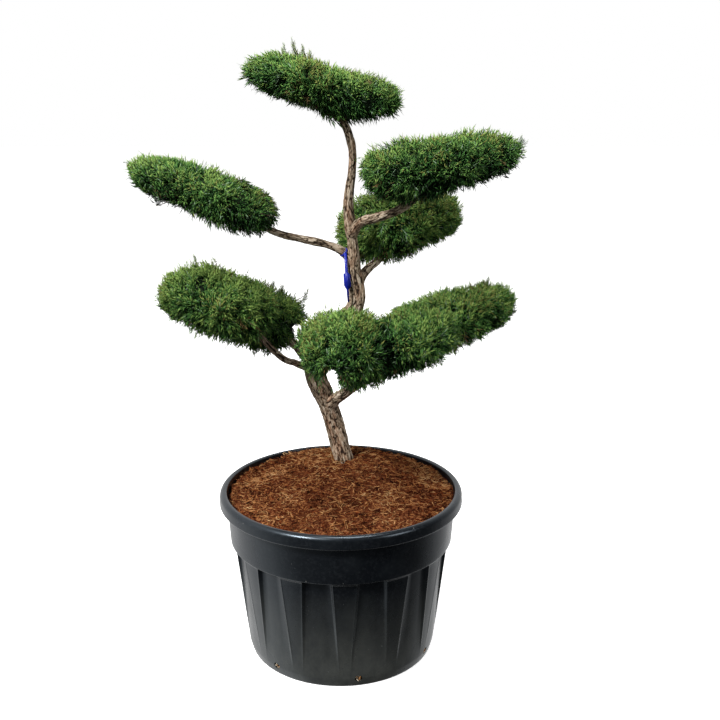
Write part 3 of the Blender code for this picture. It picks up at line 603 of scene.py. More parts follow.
fibre_lines[..., :3] = (
    fibre_middles[:, None]
    + lie[:, None] * (fibre_length[:, None] * shred_run)[..., None]
    + bend[:, None] * ((fibre_curve * fibre_length)[:, None] * shred_arc)[..., None])
fibre_lines[..., 2] += dice.uniform(0.0, 0.0045, FIBRE_COUNT)[:, None]
fibre_lines[..., 3] = dice.uniform(0.0006, 0.0015, FIBRE_COUNT)[:, None] * shred_girth
reach = np.hypot(fibre_lines[..., 0], fibre_lines[..., 1]).max(axis=1)
fibre_lines = fibre_lines[reach < FILL_RADIUS - 0.002]
fibre_points, fibre_faces = slim_tubes(fibre_lines)
fibre_kind = shred_kinds(fibre_lines[:, 1, :3], dice)
fibre_numbers = np.concatenate([
    np.repeat(fibre_kind, len(faces) // len(fibre_lines)) for faces in fibre_faces])
fibres = add_piece(
    "compost_fibres", fibre_points, fibre_faces, shred_finishes, fibre_numbers, smooth=False)
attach(fibres, "root")

# A chip is a flat splinter: two pointed ends, a wide middle and a ridge on its upper face.
chip_middles = middles[FIBRE_COUNT:] + (0.0, 0.0, 0.0015)
chip_outline = np.array([
    (-1.0, 0.0, 0.0), (-0.3, -0.45, 0.0), (0.5, -0.35, 0.0), (1.0, 0.1, 0.0), (0.4, 0.45, 0.0),
    (-0.4, 0.35, 0.0), (0.0, 0.0, 0.22), (0.0, 0.0, -0.12)])
around = np.arange(6)
chip_fan = np.concatenate([
    pole_faces(around, 6, upper=True), pole_faces(around, 7, upper=False)])
chip_ahead = unit(dice.normal(0, 1, (CHIP_COUNT, 3)) * (1, 1, 0.35))
chip_side = unit(np.cross(chip_ahead, (0, 0, 1)) + dice.normal(0, 0.3, (CHIP_COUNT, 3)))
chip_up = np.cross(chip_ahead, chip_side)
chip_size = dice.uniform(0.003, 0.0085, CHIP_COUNT)
chip_axes = np.stack([chip_ahead, chip_side, chip_up], axis=1) * chip_size[:, None, None]
chip_points = chip_middles[:, None] + chip_outline @ chip_axes
chip_faces = (np.arange(CHIP_COUNT)[:, None, None] * 8 + chip_fan).reshape(-1, 3)
chip_kind = np.maximum(0, shred_kinds(chip_middles, dice) - 1)
chips = add_piece(
    "compost_chips", chip_points.reshape(-1, 3), [chip_faces], shred_finishes,
    np.repeat(chip_kind, len(chip_fan)), smooth=False)
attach(chips, "root")

# Rootlets and shreds have washed into the drain holes and fill them loosely.
hole_turns = HOLE_FIRST + np.repeat(np.arange(HOLE_COUNT), LITTER_COUNT) * 2 * math.pi / HOLE_COUNT
out = np.stack([np.sin(hole_turns), -np.cos(hole_turns), np.zeros_like(hole_turns)], axis=-1)
beside = np.stack([np.cos(hole_turns), np.sin(hole_turns), np.zeros_like(hole_turns)], axis=-1)
litter_total = len(hole_turns)
lean = dice.uniform(0, 2 * math.pi, litter_total)
litter_run = unit(
    beside * np.cos(lean)[:, None] + (0.0, 0.0, 1.0) * np.sin(lean)[:, None]
    + out * dice.normal(0, 0.35, (litter_total, 1)))
litter_middle = (
    out * (BODY_FOOT_RADIUS - dice.uniform(0.004, 0.009, (litter_total, 1)))
    + beside * dice.uniform(-0.42, 0.42, (litter_total, 1)) * HOLE_WIDTH
    + (0.0, 0.0, 1.0) * (HOLE_CENTRE + dice.uniform(-0.40, 0.30, (litter_total, 1)) * HOLE_HEIGHT))
litter_half = np.minimum(
    dice.uniform(0.003, 0.010, litter_total),
    LITTER_REACH - np.abs((litter_middle * beside).sum(-1)) * np.abs(np.cos(lean)))
litter_lines = np.empty((litter_total, 4, 4))
litter_lines[..., :3] = litter_middle[:, None] + litter_run[:, None] * (
    litter_half[:, None] * 2 * shred_run)[..., None]
litter_lines[..., :3] += out[:, None] * (0.0015 * shred_arc)[:, None]
litter_lines[..., 3] = dice.uniform(0.0008, 0.0024, litter_total)[:, None] * shred_girth
litter_points, litter_faces = slim_tubes(litter_lines)
litter_kind = dice.choice(3, litter_total, p=LITTER_SHARES)
litter_numbers = np.concatenate([
    np.repeat(litter_kind, len(faces) // litter_total) for faces in litter_faces])
litter_finishes = [
    shred_finishes[0], shred_finishes[4], plain_finish("pale_root", (0.640, 0.560, 0.430))]
litter = add_piece(
    "drain_litter", litter_points, litter_faces, litter_finishes, litter_numbers, smooth=False)
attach(litter, "root")


# ---------------------------------------------------------------- trunk and boughs
# The juniper's wood under a grey-brown bark that splits lengthwise into short stringy plates, with
# dark fissures and red inner bark between them. Every bough grows out of its bearer's wood.
FLARE_HEIGHT = 0.09
FLARE = 0.05
ROOT_LOBES = 5
ROOT_LOBE_DEPTH = 0.07
TRUNK_SINK = 0.012  # how far the trunk's foot runs down into the compost
RING_STEP = 0.003
BARK_FISSURE = 0.0042
BARK_LUMP = 0.0075
BARK_FLAKE = 0.0016
COLLAR = 0.30  # how much a bough's root swells
COLLAR_LENGTH = 0.030
TRUNK_SIDES = 96
BOUGH_SIDES = 56
BARK_SHIFT = 7.3  # how far the bark's clouds move on from one limb to the next

# Lines of the limbs: x, y, z, radius, from root to tip, as the solids have them.
TRUNK_LINE = (
    (0.008, 0.165, 0.6344, 0.0330), (-0.010, 0.160, 0.699, 0.0345), (-0.035, 0.150, 0.806, 0.0345),
    (-0.066, 0.140, 0.894, 0.0360), (-0.090, 0.130, 0.964, 0.0360), (-0.085, 0.125, 1.035, 0.0350),
    (-0.056, 0.120, 1.105, 0.0330), (-0.003, 0.110, 1.169, 0.0310), (0.045, 0.100, 1.216, 0.0295),
    (0.056, 0.095, 1.280, 0.0290), (0.045, 0.085, 1.355, 0.0245), (0.043, 0.075, 1.440, 0.0200),
    (0.035, 0.070, 1.507, 0.0185), (0.027, 0.060, 1.589, 0.0165), (0.040, 0.050, 1.686, 0.0152),
    (0.042, 0.035, 1.760, 0.0130), (0.026, 0.014, 1.824, 0.0125), (0.012, 0.005, 1.850, 0.0118))
BOUGH_LINES = {
    "bough_front": (
        (-0.056, 0.150, 0.846, 0.0240), (0.000, 0.080, 0.906, 0.0215), (0.040, 0.010, 0.958, 0.0190),
        (0.052, -0.060, 1.000, 0.0170), (0.046, -0.108, 1.042, 0.0155),
        (0.030, -0.150, 1.100, 0.0140)),
    "bough_mid": (
        (0.036, 0.020, 0.953, 0.0140), (0.100, -0.020, 0.996, 0.0135), (0.152, -0.065, 1.034, 0.0120),
        (0.192, -0.098, 1.066, 0.0105), (0.220, -0.120, 1.110, 0.0095)),
    "bough_right": (
        (-0.084, 0.127, 1.010, 0.0190), (0.000, 0.118, 1.036, 0.0165), (0.090, 0.105, 1.056, 0.0150),
        (0.160, 0.096, 1.080, 0.0138), (0.220, 0.095, 1.118, 0.0125), (0.290, 0.098, 1.160, 0.0115)),
    "bough_left_rear": (
        (-0.088, 0.128, 1.000, 0.0190), (-0.128, 0.130, 1.034, 0.0170),
        (-0.160, 0.133, 1.074, 0.0150), (-0.193, 0.138, 1.108, 0.0140),
        (-0.228, 0.150, 1.160, 0.0125)),
    "bough_left_front": (
        (-0.086, 0.128, 0.972, 0.0150), (-0.128, 0.108, 1.003, 0.0125),
        (-0.160, 0.074, 1.027, 0.0120), (-0.192, 0.040, 1.048, 0.0115),
        (-0.228, 0.018, 1.085, 0.0110), (-0.270, 0.000, 1.140, 0.0100),
        (-0.320, -0.014, 1.190, 0.0090)),
    "bough_left_high": (
        (0.042, 0.082, 1.386, 0.0150), (0.004, 0.070, 1.423, 0.0136), (-0.051, 0.050, 1.449, 0.0130),
        (-0.117, 0.030, 1.467, 0.0125), (-0.182, 0.010, 1.485, 0.0120),
        (-0.235, 0.000, 1.506, 0.0115), (-0.300, -0.002, 1.545, 0.0105)),
    "bough_right_high": (
        (0.038, 0.070, 1.480, 0.0170), (0.067, 0.040, 1.522, 0.0158), (0.116, 0.000, 1.543, 0.0145),
        (0.171, -0.030, 1.563, 0.0138), (0.206, -0.054, 1.585, 0.0132),
        (0.234, -0.072, 1.608, 0.0125), (0.270, -0.082, 1.650, 0.0115)),
    "bough_back": (
        (0.054, 0.094, 1.290, 0.0165), (0.078, 0.140, 1.330, 0.0148), (0.106, 0.190, 1.350, 0.0135),
        (0.136, 0.235, 1.368, 0.0125), (0.168, 0.268, 1.420, 0.0115)),
}


def smooth_line(points, per_span):
    """A Catmull-Rom curve through the points, with per_span steps between neighbours."""
    p = np.array(points, float)
    p = np.vstack([2 * p[0] - p[1], p, 2 * p[-1] - p[-2]])
    a, b, c, d = (p[k:len(p) - 3 + k, None] for k in range(4))
    t = np.linspace(0, 1, per_span, endpoint=False)[:, None]
    spans = 0.5 * (2 * b + (c - a) * t + (2 * a - 5 * b + 4 * c - d) * t**2
                   + (3 * b - a - 3 * c + d) * t**3)
    return np.vstack([spans.reshape(-1, p.shape[1]), p[-2:-1]])


def even_line(points, step):
    """The smooth line through the points, resampled at even steps of its length."""
    fine = smooth_line(points, 24)
    run = np.concatenate([[0], np.cumsum(np.linalg.norm(np.diff(fine[:, :3], axis=0), axis=1))])
    even = np.linspace(0, run[-1], max(2, round(run[-1] / step) + 1))
    return np.column_stack([np.interp(even, run, fine[:, k]) for k in range(4)]), even


def bark_relief(around, radius, run, seed):
    """How far the bark stands out, in metres, and how weathered it is, from 0 to 1.

    The limb is taken as straight: a point is (radius cos a, radius sin a, run). Clouds five times
    as long as wide make the plates, their middle values are the fissures between them, finer
    clouds are flakes and broad ones the limb's lumps.
    """
    straight = np.stack([radius * np.cos(around), radius * np.sin(around), run], axis=-1)
    plates = cloud_values(straight * (135, 135, 30) + seed, 51)
    plates = 0.7 * plates + 0.3 * cloud_values(straight * (290, 290, 70) + seed, 52)
    fissure = np.clip(1 - np.abs(plates - 0.5) / 0.070, 0, 1)
    flakes = cloud_values(straight * (420, 420, 150) + seed, 53)
    lumps = cloud_values(straight * (34, 34, 20) + seed, 54)
    size = np.minimum(1.0, radius / 0.030) ** 0.7
    stand = BARK_LUMP * (lumps - 0.5) + BARK_FLAKE * (flakes - 0.5) - BARK_FISSURE * fissure**1.5
    stand += BARK_FISSURE * 0.8 * (plates - 0.5)
    weathered = np.clip(0.66 - 0.80 * fissure + 0.6 * (flakes - 0.5) + 0.5 * (plates - 0.5), 0, 1)
    return stand * size, weathered, straight


bark_finish, tree, shader = surface_finish("bark", 0.88, 0.25)
weathered = tree.nodes.new("ShaderNodeAttribute")
weathered.attribute_name = "weathered"
straight = tree.nodes.new("ShaderNodeAttribute")
straight.attribute_name = "straight"
fine_grain = tree.nodes.new("ShaderNodeMapping")
fine_grain.inputs["Scale"].default_value = (1.0, 1.0, 0.22)
tree.links.new(straight.outputs["Vector"], fine_grain.inputs["Vector"])
strings = grain_noise(tree, fine_grain.outputs["Vector"], 620.0, 4.0, 0.6)
tint = grain_noise(tree, fine_grain.outputs["Vector"], 42.0, 3.0)
grey = colour_steps(tree, weathered.outputs["Fac"], (
    (0.08, (0.010, 0.006, 0.003)), (0.36, (0.092, 0.062, 0.037)), (0.62, (0.370, 0.285, 0.195)),
    (0.92, (0.700, 0.600, 0.470))))
red = colour_steps(tree, weathered.outputs["Fac"], (
    (0.08, (0.014, 0.006, 0.003)), (0.36, (0.105, 0.050, 0.027)), (0.62, (0.320, 0.185, 0.110)),
    (0.92, (0.560, 0.400, 0.275))))
bark_colour = mixed(tree, spread(tree, tint, 0.46, 0.66), grey, red)
bark_colour = mixed(tree, spread(tree, strings, 0.62, 0.35, 0.0, 0.55), bark_colour,
                    (0.030, 0.018, 0.012))
tree.links.new(bark_colour, shader.inputs["Base Color"])
relief_bump(tree, shader, strings, 0.0012)


def add_limb(name, node, points, sides, seed, root_swell):
    """A limb with its bark, standing for a CAD node.

    root_swell(run, around) is how much wider the limb is near its root, as a share.
    """
    line, run = even_line(points, RING_STEP)
    sections, outward = carried_sections(line[None], sides)
    around = np.broadcast_to(np.linspace(0, 2 * math.pi, sides, endpoint=False), sections.shape[1:3])
    radius = np.broadcast_to(line[:, 3:], around.shape)
    run = np.broadcast_to(run[:, None], around.shape)
    swollen = radius * root_swell(run, np.arctan2(outward[0, ..., 1], outward[0, ..., 0]))
    stand, weathered, straight = bark_relief(around, radius, run, seed)
    grid = line[:, None, :3] + outward[0] * (radius + swollen + stand)[..., None]
    rows = len(line)
    points = np.vstack([grid.reshape(-1, 3), line[0, :3], line[-1, :3]])
    faces = [
        wrapped_faces(rows, sides),
        pole_faces(np.arange(sides), rows * sides, upper=False),
        pole_faces(np.arange(sides) + (rows - 1) * sides, rows * sides + 1, upper=True)]
    limb = add_piece(name, points, faces, [bark_finish])
    tone = limb.data.attributes.new("weathered", "FLOAT", "POINT")
    tone.data.foreach_set("value", np.append(weathered.ravel(), (0.4, 0.4)).astype(np.float32))
    unrolled = limb.data.attributes.new("straight", "FLOAT_VECTOR", "POINT")
    straight = np.vstack([straight.reshape(-1, 3), np.zeros((2, 3))])
    unrolled.data.foreach_set("vector", straight.astype(np.float32).ravel())
    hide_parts(node)
    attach(limb, "root")


def root_flare(run, around):
    """(1 - run / height)^2 * (flare + lobe depth * cos 5a), so that the foot swells into roots."""
    lobes = FLARE + ROOT_LOBE_DEPTH * np.cos(ROOT_LOBES * around)
    return np.maximum(0.0, 1 - (run - TRUNK_SINK) / FLARE_HEIGHT) ** 2 * lobes


def bough_collar(run, around):
    """A swelling that dies away from the bearer: collar * exp(-(run / length)^2)."""
    return COLLAR * np.exp(-((run / COLLAR_LENGTH) ** 2))


sunk_foot = tuple(np.array(TRUNK_LINE[0]) - (0.0, 0.0, TRUNK_SINK, 0.0))
add_limb("trunk_bark", "trunk", (sunk_foot, *TRUNK_LINE), TRUNK_SIDES, 0.0, root_flare)
for number, (bough_name, bough_points) in enumerate(BOUGH_LINES.items(), 1):
    add_limb(bough_name + "_bark", bough_name, bough_points, BOUGH_SIDES, BARK_SHIFT * number,
             bough_collar)


# ---------------------------------------------------------------- foliage
# Nine clipped pads of scale-leaved shoots. In each, the bearing limb forks into inner limbs, twigs
# run from them to the clipped outline, and every twig ends in a tuft of feathery plumes, bright at
# the tips. A heart of old shaded growth closes the middle of the pad.

# Each pad: the limb that bears it, its centre, half length, half width, rise, drop, tilt and turn in
# degrees, how its drop and its rise grow along its length, and the seed of its random draws.
PADS = {
    "foliage_top": (
        "trunk", (-0.048, 0.050, 1.957), 0.258, 0.165, 0.078, 0.084, -10.5, 4, 0.30, -0.10, 11),
    "foliage_left_high": (
        "bough_left_high", (-0.455, -0.005, 1.634), 0.276, 0.155, 0.078, 0.072, -19.5, -6, 0.25,
        0.00, 12),
    "foliage_right_high": (
        "bough_right_high", (0.324, -0.085, 1.719), 0.262, 0.160, 0.092, 0.090, 9.0, 6, -0.30,
        -0.05, 13),
    "foliage_back": (
        "bough_back", (0.218, 0.285, 1.489), 0.232, 0.150, 0.128, 0.114, 11.0, -8, -0.15, 0.00, 14),
    "foliage_left_front": (
        "bough_left_front", (-0.412, -0.030, 1.272), 0.204, 0.145, 0.100, 0.112, -14.0, -10, 0.10,
        -0.05, 15),
    "foliage_left_rear": (
        "bough_left_rear", (-0.285, 0.170, 1.166), 0.172, 0.130, 0.120, 0.106, -12.0, 8, 0.10,
        -0.10, 16),
    "foliage_front": (
        "bough_front", (0.008, -0.205, 1.154), 0.158, 0.150, 0.122, 0.122, 0.0, 0, 0.25, 0.00, 17),
    "foliage_mid": (
        "bough_mid", (0.220, -0.140, 1.168), 0.170, 0.135, 0.092, 0.108, 15.0, 0, -0.20, 0.05, 18),
    "foliage_right": (
        "bough_right", (0.370, 0.100, 1.183), 0.256, 0.145, 0.090, 0.106, 14.5, 8, -0.10, 0.00, 19),
}
PAD_SQUARENESS = 2.4
PAD_LUMPS = 0.028
LUMP_WAVES = 5
LUMP_RATE = 4.2
TWIG_ROOT = 0.45  # where a twig leaves its inner limb, as a share of the way out
TWIG_LIFT = 0.45  # how much the upper plumes turn up
TWIG_DROOP = 0.30  # how much the lower ones turn down
TWIG_SAG = 0.010
BARK_GAP = 0.004  # from the open limbs' bark to the nearest shoot

# Upright sprigs that the shears left: a direction from the pad's centre and a height, for each.
WILD_SHOOTS = {
    "foliage_top": (((-0.78, -0.10, 0.58), 0.056), ((-0.68, 0.15, 0.70), 0.038),
                    ((-0.84, 0.10, 0.46), 0.030), ((-0.58, 0.00, 0.80), 0.026)),
    "foliage_left_front": (((-0.62, 0.10, 0.60), 0.034), ((-0.30, 0.10, 0.85), 0.026)),
    "foliage_left_rear": (((0.86, -0.15, 0.50), 0.066), ((0.45, 0.00, 0.85), 0.034),
                          ((0.15, 0.10, 0.90), 0.026)),
    "foliage_right": (((0.86, 0.00, 0.42), 0.024), ((0.20, 0.10, 0.90), 0.022)),
    "foliage_right_high": (((0.98, 0.00, 0.13), 0.014),),
}
WILD_TUFT = 5  # plumes to each of a sprig's four tufts
WILD_LENGTH = 0.45  # of a plume on a sprig, as a share of the others' length
WILD_WIDTH = 0.7
TWIG_SPACING = 0.0262  # distance between neighbouring twigs on the outline
TUFT = 6  # plumes to a twig
TUFT_TURN = 2.39996  # the golden angle, round a twig from one plume to the next
PLUME_LENGTH = 0.060
PLUME_KINDS = 10
SHOOTS = 12  # side shoots and tip of a plume, without its axis
SHOOT_WIDTH = 0.030  # a shoot's half width, as a share of its plume's length
HEART_DEPTH = 0.046  # from the clipped outline in to the shaded heart
HEART_DRAW = 0.975  # drawn in by this, again and again, where it would pass a border
WISPS = 46  # slim shoots to a pad that have outgrown the clipping
WISP_WIDTH = 0.40
FORKS = 7  # inner limbs to a pad
FORK_STEPS = 9
FORK_SIDES = 8
FORK_REACH = 0.78  # how far out they run, as a share of the way

# Bare channels in a pad that no shoot grows into: each a start, an end and a radius.
BARE_CHANNELS = {
    "foliage_front": (((-0.023, -0.33, 1.091), (-0.031, -0.05, 1.009), 0.030),),
    "foliage_left_rear": (((-0.140, 0.02, 1.160), (-0.158, 0.29, 1.095), 0.026),),
}

# How far each pad stands out from its even outline, every 22.5 degrees round its long axis and its
# height, from the far end over the top.
SWELLINGS = {
    "foliage_top": (
        1.02, 1.05, 0.91, 0.93, 0.90, 1.03, 1.03, 1.02, 0.99, 1.03, 1.06, 1.06, 0.97, 1.14, 0.97, 0.87),
    "foliage_left_high": (
        0.98, 1.02, 1.03, 1.18, 1.05, 0.92, 0.92, 1.00, 1.01, 0.98, 0.98, 0.91, 1.14, 1.01, 0.99, 1.12),
    "foliage_right_high": (
        1.04, 1.03, 1.06, 0.98, 1.11, 1.08, 1.13, 1.08, 1.04, 1.03, 1.03, 1.03, 1.03, 1.00, 0.98, 0.95),
    "foliage_back": (
        0.99, 1.01, 1.03, 1.03, 1.03, 1.03, 1.03, 1.09, 1.11, 1.07, 1.06, 1.12, 1.06, 1.04, 0.98, 0.98),
    "foliage_left_front": (
        1.03, 1.06, 1.06, 1.06, 1.09, 1.20, 1.08, 1.02, 1.10, 1.08, 1.01, 1.21, 1.15, 1.01, 1.07, 1.03),
    "foliage_left_rear": (
        1.06, 1.00, 1.04, 1.08, 1.14, 1.05, 1.03, 1.03, 1.03, 1.06, 1.06, 1.11, 1.21, 1.16, 1.03, 1.03),
    "foliage_front": (
        1.03, 1.03, 1.11, 1.06, 1.08, 1.08, 1.03, 1.01, 1.00, 0.98, 1.03, 1.01, 1.03, 1.02, 1.04, 1.03),
    "foliage_mid": (
        1.03, 1.03, 1.03, 1.01, 0.96, 1.06, 1.03, 1.03, 1.03, 1.06, 1.08, 1.09, 0.98, 0.93, 1.13, 1.21),
    "foliage_right": (
        1.04, 1.10, 0.99, 0.96, 1.03, 1.10, 1.03, 1.01, 1.03, 1.03, 1.06, 1.10, 1.09, 1.15, 1.04, 1.08),
}
EVEN_SWELLING = 1.02
PALE_STRANDS = 0.22  # the share of plumes whose axis shows as a pale strand
CREASE = 0.30  # how far from a border its shade reaches, as a share of a pad

# How much brighter or darker a pad is than the rest, in steps of NEEDLE_COLOURS: partly its own
# green, partly painted light, as foliage_back is painted lighter against the shadow that the higher
# pads cast on it.
PAD_TONES = {
    "foliage_top": 0.5, "foliage_left_high": 0.0, "foliage_right_high": -0.2, "foliage_back": 1.2,
    "foliage_left_front": 1.0, "foliage_left_rear": 0.6, "foliage_front": 0.5,
    "foliage_mid": 0.1, "foliage_right": 0.3}
# Greens from painted shade to painted light: old and shaded growth at the dark end, fresh and lit
# growth at the light end. The last three are kinds of their own.
NEEDLE_COLOURS = {
    "needles_shaded": (0.003, 0.009, 0.003),
    "needles_old_shaded": (0.013, 0.042, 0.011),
    "needles_deep": (0.033, 0.092, 0.023),
    "needles_green": (0.068, 0.158, 0.037),
    "needles_fresh_lit": (0.116, 0.226, 0.054),
    "needles_lit_tip": (0.190, 0.285, 0.070),
    "needles_dead": (0.150, 0.108, 0.045),
    "needles_grey": (0.165, 0.245, 0.150),
    "needles_olive": (0.185, 0.200, 0.055),
}
DEAD_KIND, GREY_KIND, OLIVE_KIND = 6, 7, 8
needle_finishes = [plain_finish(name, colour, 0.55) for name, colour in NEEDLE_COLOURS.items()]


class Pad:
    """One clipped pad: its frame and its outline, as its solid has them."""

    def __init__(self, name):
        (self.bearer, centre, self.length, self.width, self.rise, self.drop, tilt, turn, self.keel,
         self.crown, self.seed) = PADS[name]
        self.name = name
        self.centre = np.array(centre)
        self.half_sizes = (self.length, self.width, (self.rise + self.drop) / 2)
        tilt, turn = math.radians(tilt), math.radians(turn)
        along = np.array([
            math.cos(tilt) * math.cos(turn), math.cos(tilt) * math.sin(turn), math.sin(tilt)])
        across = np.array([-math.sin(turn), math.cos(turn), 0.0])
        self.frame = np.array([along, across, np.cross(along, across)])
        dice = np.random.default_rng(self.seed)
        self.waves = dice.uniform(-LUMP_RATE, LUMP_RATE, (LUMP_WAVES, 3))
        self.phases = dice.uniform(0, 2 * math.pi, LUMP_WAVES)

    def reach(self, d):
        """The outline's distance from the centre along unit directions in the pad's own frame.

        It is (|x/a|^p + |y/b|^p + |z/c|^p)^(-1/p), with p its squareness, times 1 + lumps of sines.
        """
        rise = self.rise * (1 + self.crown * d[..., 0])
        drop = self.drop * (1 + self.keel * d[..., 0])
        sizes = np.stack([
            np.full(d.shape[:-1], self.length), np.full(d.shape[:-1], self.width),
            np.where(d[..., 2] > 0, rise, drop)], axis=-1)
        plain = (np.abs(d / sizes) ** PAD_SQUARENESS).sum(-1) ** (-1 / PAD_SQUARENESS)
        lumps = np.sin(d @ self.waves.T + self.phases).sum(-1)
        return plain * (1 + PAD_LUMPS * lumps)

    def swelling(self, directions):
        """How far the growth stands out from the outline: even + (table - even) * (1 - across^2).

        The table is read off by the angle between the pad's long axis and its height.
        """
        d = unit(directions)
        table = np.array(SWELLINGS[self.name] + SWELLINGS[self.name][:1])
        place = np.arctan2(d[..., 2], d[..., 0]) / (2 * math.pi) % 1 * (len(table) - 1)
        return EVEN_SWELLING + (np.interp(place, np.arange(len(table)), table) - EVEN_SWELLING) * (
            1 - d[..., 1] ** 2)

    def area(self):
        """The area of an ellipsoid of the pad's half sizes a, b and c, by Thomsen's formula:
        4 pi (((ab)^p + (bc)^p + (ca)^p) / 3)^(1/p), with p 1.6."""
        sizes = self.half_sizes
        products = [(a * b) ** 1.6 for a, b in zip(sizes, sizes[1:] + sizes[:1])]
        return 4 * math.pi * (sum(products) / 3) ** (1 / 1.6)

    def share(self, points):
        """How far out each point lies: 1 on the outline, under 1 inside it."""
        local = (points - self.centre) @ self.frame.T
        distance = np.linalg.norm(local, axis=-1) + 1e-9
        return distance / self.reach(local / distance[..., None])

    def place(self, directions, shares):
        """The points at those shares of the outline along directions in the pad's own frame."""
        d = unit(directions)
        return self.centre + (d * (self.reach(d) * shares)[..., None]) @ self.frame


pads = {name: Pad(name) for name in PADS}


def channel_gap(points, a, b):
    """Each point's distance from the line a to b, less the line's radius there.

    a and b are x, y, z and radius.
    """
    along = b[:3] - a[:3]
    t = np.clip((points - a[:3]) @ along / (along @ along), 0, 1)
    gap = np.linalg.norm(points - a[:3] - t[..., None] * along, axis=-1)
    return gap - a[3] - t * (b[3] - a[3])


def in_channel(pad, points):
    """True for each point in one of the pad's bare channels."""
    inside = np.zeros(points.shape[:-1], bool)
    for start, end, radius in BARE_CHANNELS.get(pad.name, ()):
        inside |= channel_gap(points, np.array([*start, radius]), np.array([*end, radius])) < 0
    return inside


def past_border(pad, points):
    """True for each point that lies past the border with another pad, or in a bare channel."""
    own = pad.share(points)
    past = in_channel(pad, points)
    for other in pads.values():
        if other is not pad:
            past |= other.share(points) < own
    return past


def border_shade(pad, points):
    """How much the neighbouring pads shade each point: 1 - (nearest other share - own) / crease,
    which is 0 in the open and 1 on a border."""
    own = pad.share(points)
    nearest = np.min([
        other.share(points) for other in pads.values() if other is not pad], axis=0)
    return np.clip(1 - (nearest - own) / CREASE, 0, 1)


def near_limb(points, margin):
    """True for each point closer than margin to the bark of a limb that stands in the open."""
    near = np.zeros(points.shape[:-1], bool)
    for line in (TRUNK_LINE, *BOUGH_LINES.values()):
        open_line = smooth_line(line, 3)[:-3]
        for a, b in zip(open_line[:-1], open_line[1:]):
            near |= channel_gap(points, a, b) < margin
    return near


def plume_kinds():
    """Unit plumes (kinds, shoots + 1, 4 points, 3): x across, y ahead, z off the flat.

    The first shoot is the axis. The others leave it by turns to the left and right, at angles that
    close towards the tip. Each is a slip of four faces: a root, two shoulders raised off the flat
    and a tip.
    """
    dice = np.random.default_rng(61)
    k = np.arange(SHOOTS)
    side = np.where(k % 2 == 0, 1.0, -1.0)
    side[-1] = 0.0
    rank = k / (SHOOTS - 1)
    shape = (PLUME_KINDS, SHOOTS)
    start = 0.08 + 0.62 * rank + dice.normal(0, 0.02, shape)
    angle = side * (1.00 - 0.50 * rank + dice.normal(0, 0.20, shape)) + dice.normal(0, 0.08, shape)
    off = dice.normal(0, 0.45, shape)
    size = (0.44 - 0.12 * rank) * dice.uniform(0.7, 1.25, shape)
    root = np.stack([np.zeros(shape), start, np.zeros(shape)], axis=-1)
    ahead = np.stack([
        np.sin(angle) * np.cos(off), np.cos(angle) * np.cos(off), np.sin(off)], axis=-1)
    tip = root + ahead * size[..., None]
    width = SHOOT_WIDTH * dice.uniform(0.8, 1.15, shape)
    axis_root = np.zeros((PLUME_KINDS, 1, 3))
    axis_tip = axis_root + (0.0, 0.86, 0.0)
    root = np.concatenate([axis_root, root], axis=1)
    tip = np.concatenate([axis_tip, tip], axis=1)
    width = np.concatenate([np.full((PLUME_KINDS, 1), SHOOT_WIDTH * 0.8), width], axis=1)
    line = tip - root
    across = unit(np.cross(line, (0.0, 0.0, 1.0)))
    up = unit(np.cross(across, line))
    across, up = across * width[..., None], up * width[..., None]
    raised = root + 0.42 * line + 0.7 * up
    raised[:, 1:] += (0.09 * side * size)[..., None] * across[:, 1:] / width[:, 1:, None]
    points = np.stack([root, raised - across, raised + across, tip], axis=-2)
    points[..., 2] += dice.normal(0.0, 0.12, (PLUME_KINDS, 1, 1)) * points[..., 1] ** 2
    return points


UNIT_PLUMES = plume_kinds()
SLIP = np.array([[0, 2, 1], [3, 1, 2], [0, 1, 3], [0, 3, 2]])


def grown_plumes(roots, headings, normals, lengths, widths, dice):
    """The points (plumes, shoots, 4, 3) of plumes with those roots, headings and flat sides."""
    across = np.cross(headings, normals) * widths[:, None]
    axes = np.stack([across, headings, normals * widths[:, None]], axis=1) * lengths[:, None, None]
    kinds = UNIT_PLUMES[dice.integers(PLUME_KINDS, size=len(roots))]
    points = roots[:, None, None] + np.einsum("nspk,nkc->nspc", kinds, axes)
    bend = np.interp(headings[:, 2], (-0.3, 0.3), (-0.22, 0.14)) * lengths
    points[..., 2] += bend[:, None, None] * kinds[..., 1] ** 2
    return points


def shade_kinds(tones, plume_dead, olive_share, dice):
    """Colour numbers (plumes, shoots): tone + rank + chance, where the rank rises from a plume's
    axis to its tip. Some shoots are grey, olive or dead instead."""
    rank = np.concatenate([[-2.0], np.linspace(-1.7, 1.2, SHOOTS)])
    numbers = tones[:, None] + rank + dice.normal(0, 0.65, (len(tones), SHOOTS + 1))
    numbers = np.clip(numbers.round(), 0, 5).astype(int)
    grey = (dice.random(numbers.shape) < 0.035) & (numbers < 4)
    numbers[grey] = GREY_KIND
    strand = dice.random(len(tones)) < PALE_STRANDS
    numbers[strand, 0] = GREY_KIND
    numbers[(dice.random(numbers.shape) < olive_share[:, None]) & (numbers > 3)] = OLIVE_KIND
    numbers[plume_dead] = DEAD_KIND
    return numbers


def spread_directions(count, pad, dice):
    """Directions spread evenly over the pad by the golden angle, stretched to its three sizes."""
    k = np.arange(count)
    height = 1 - 2 * (k + 0.5) / count
    angle = math.pi * (3 - math.sqrt(5)) * k + dice.uniform(-0.2, 0.2, count)
    flat = np.sqrt(1 - height**2)
    drop = np.where(height > 0, pad.rise, pad.drop)
    return np.stack([
        flat * np.cos(angle) * pad.length, flat * np.sin(angle) * pad.width, height * drop], axis=-1)


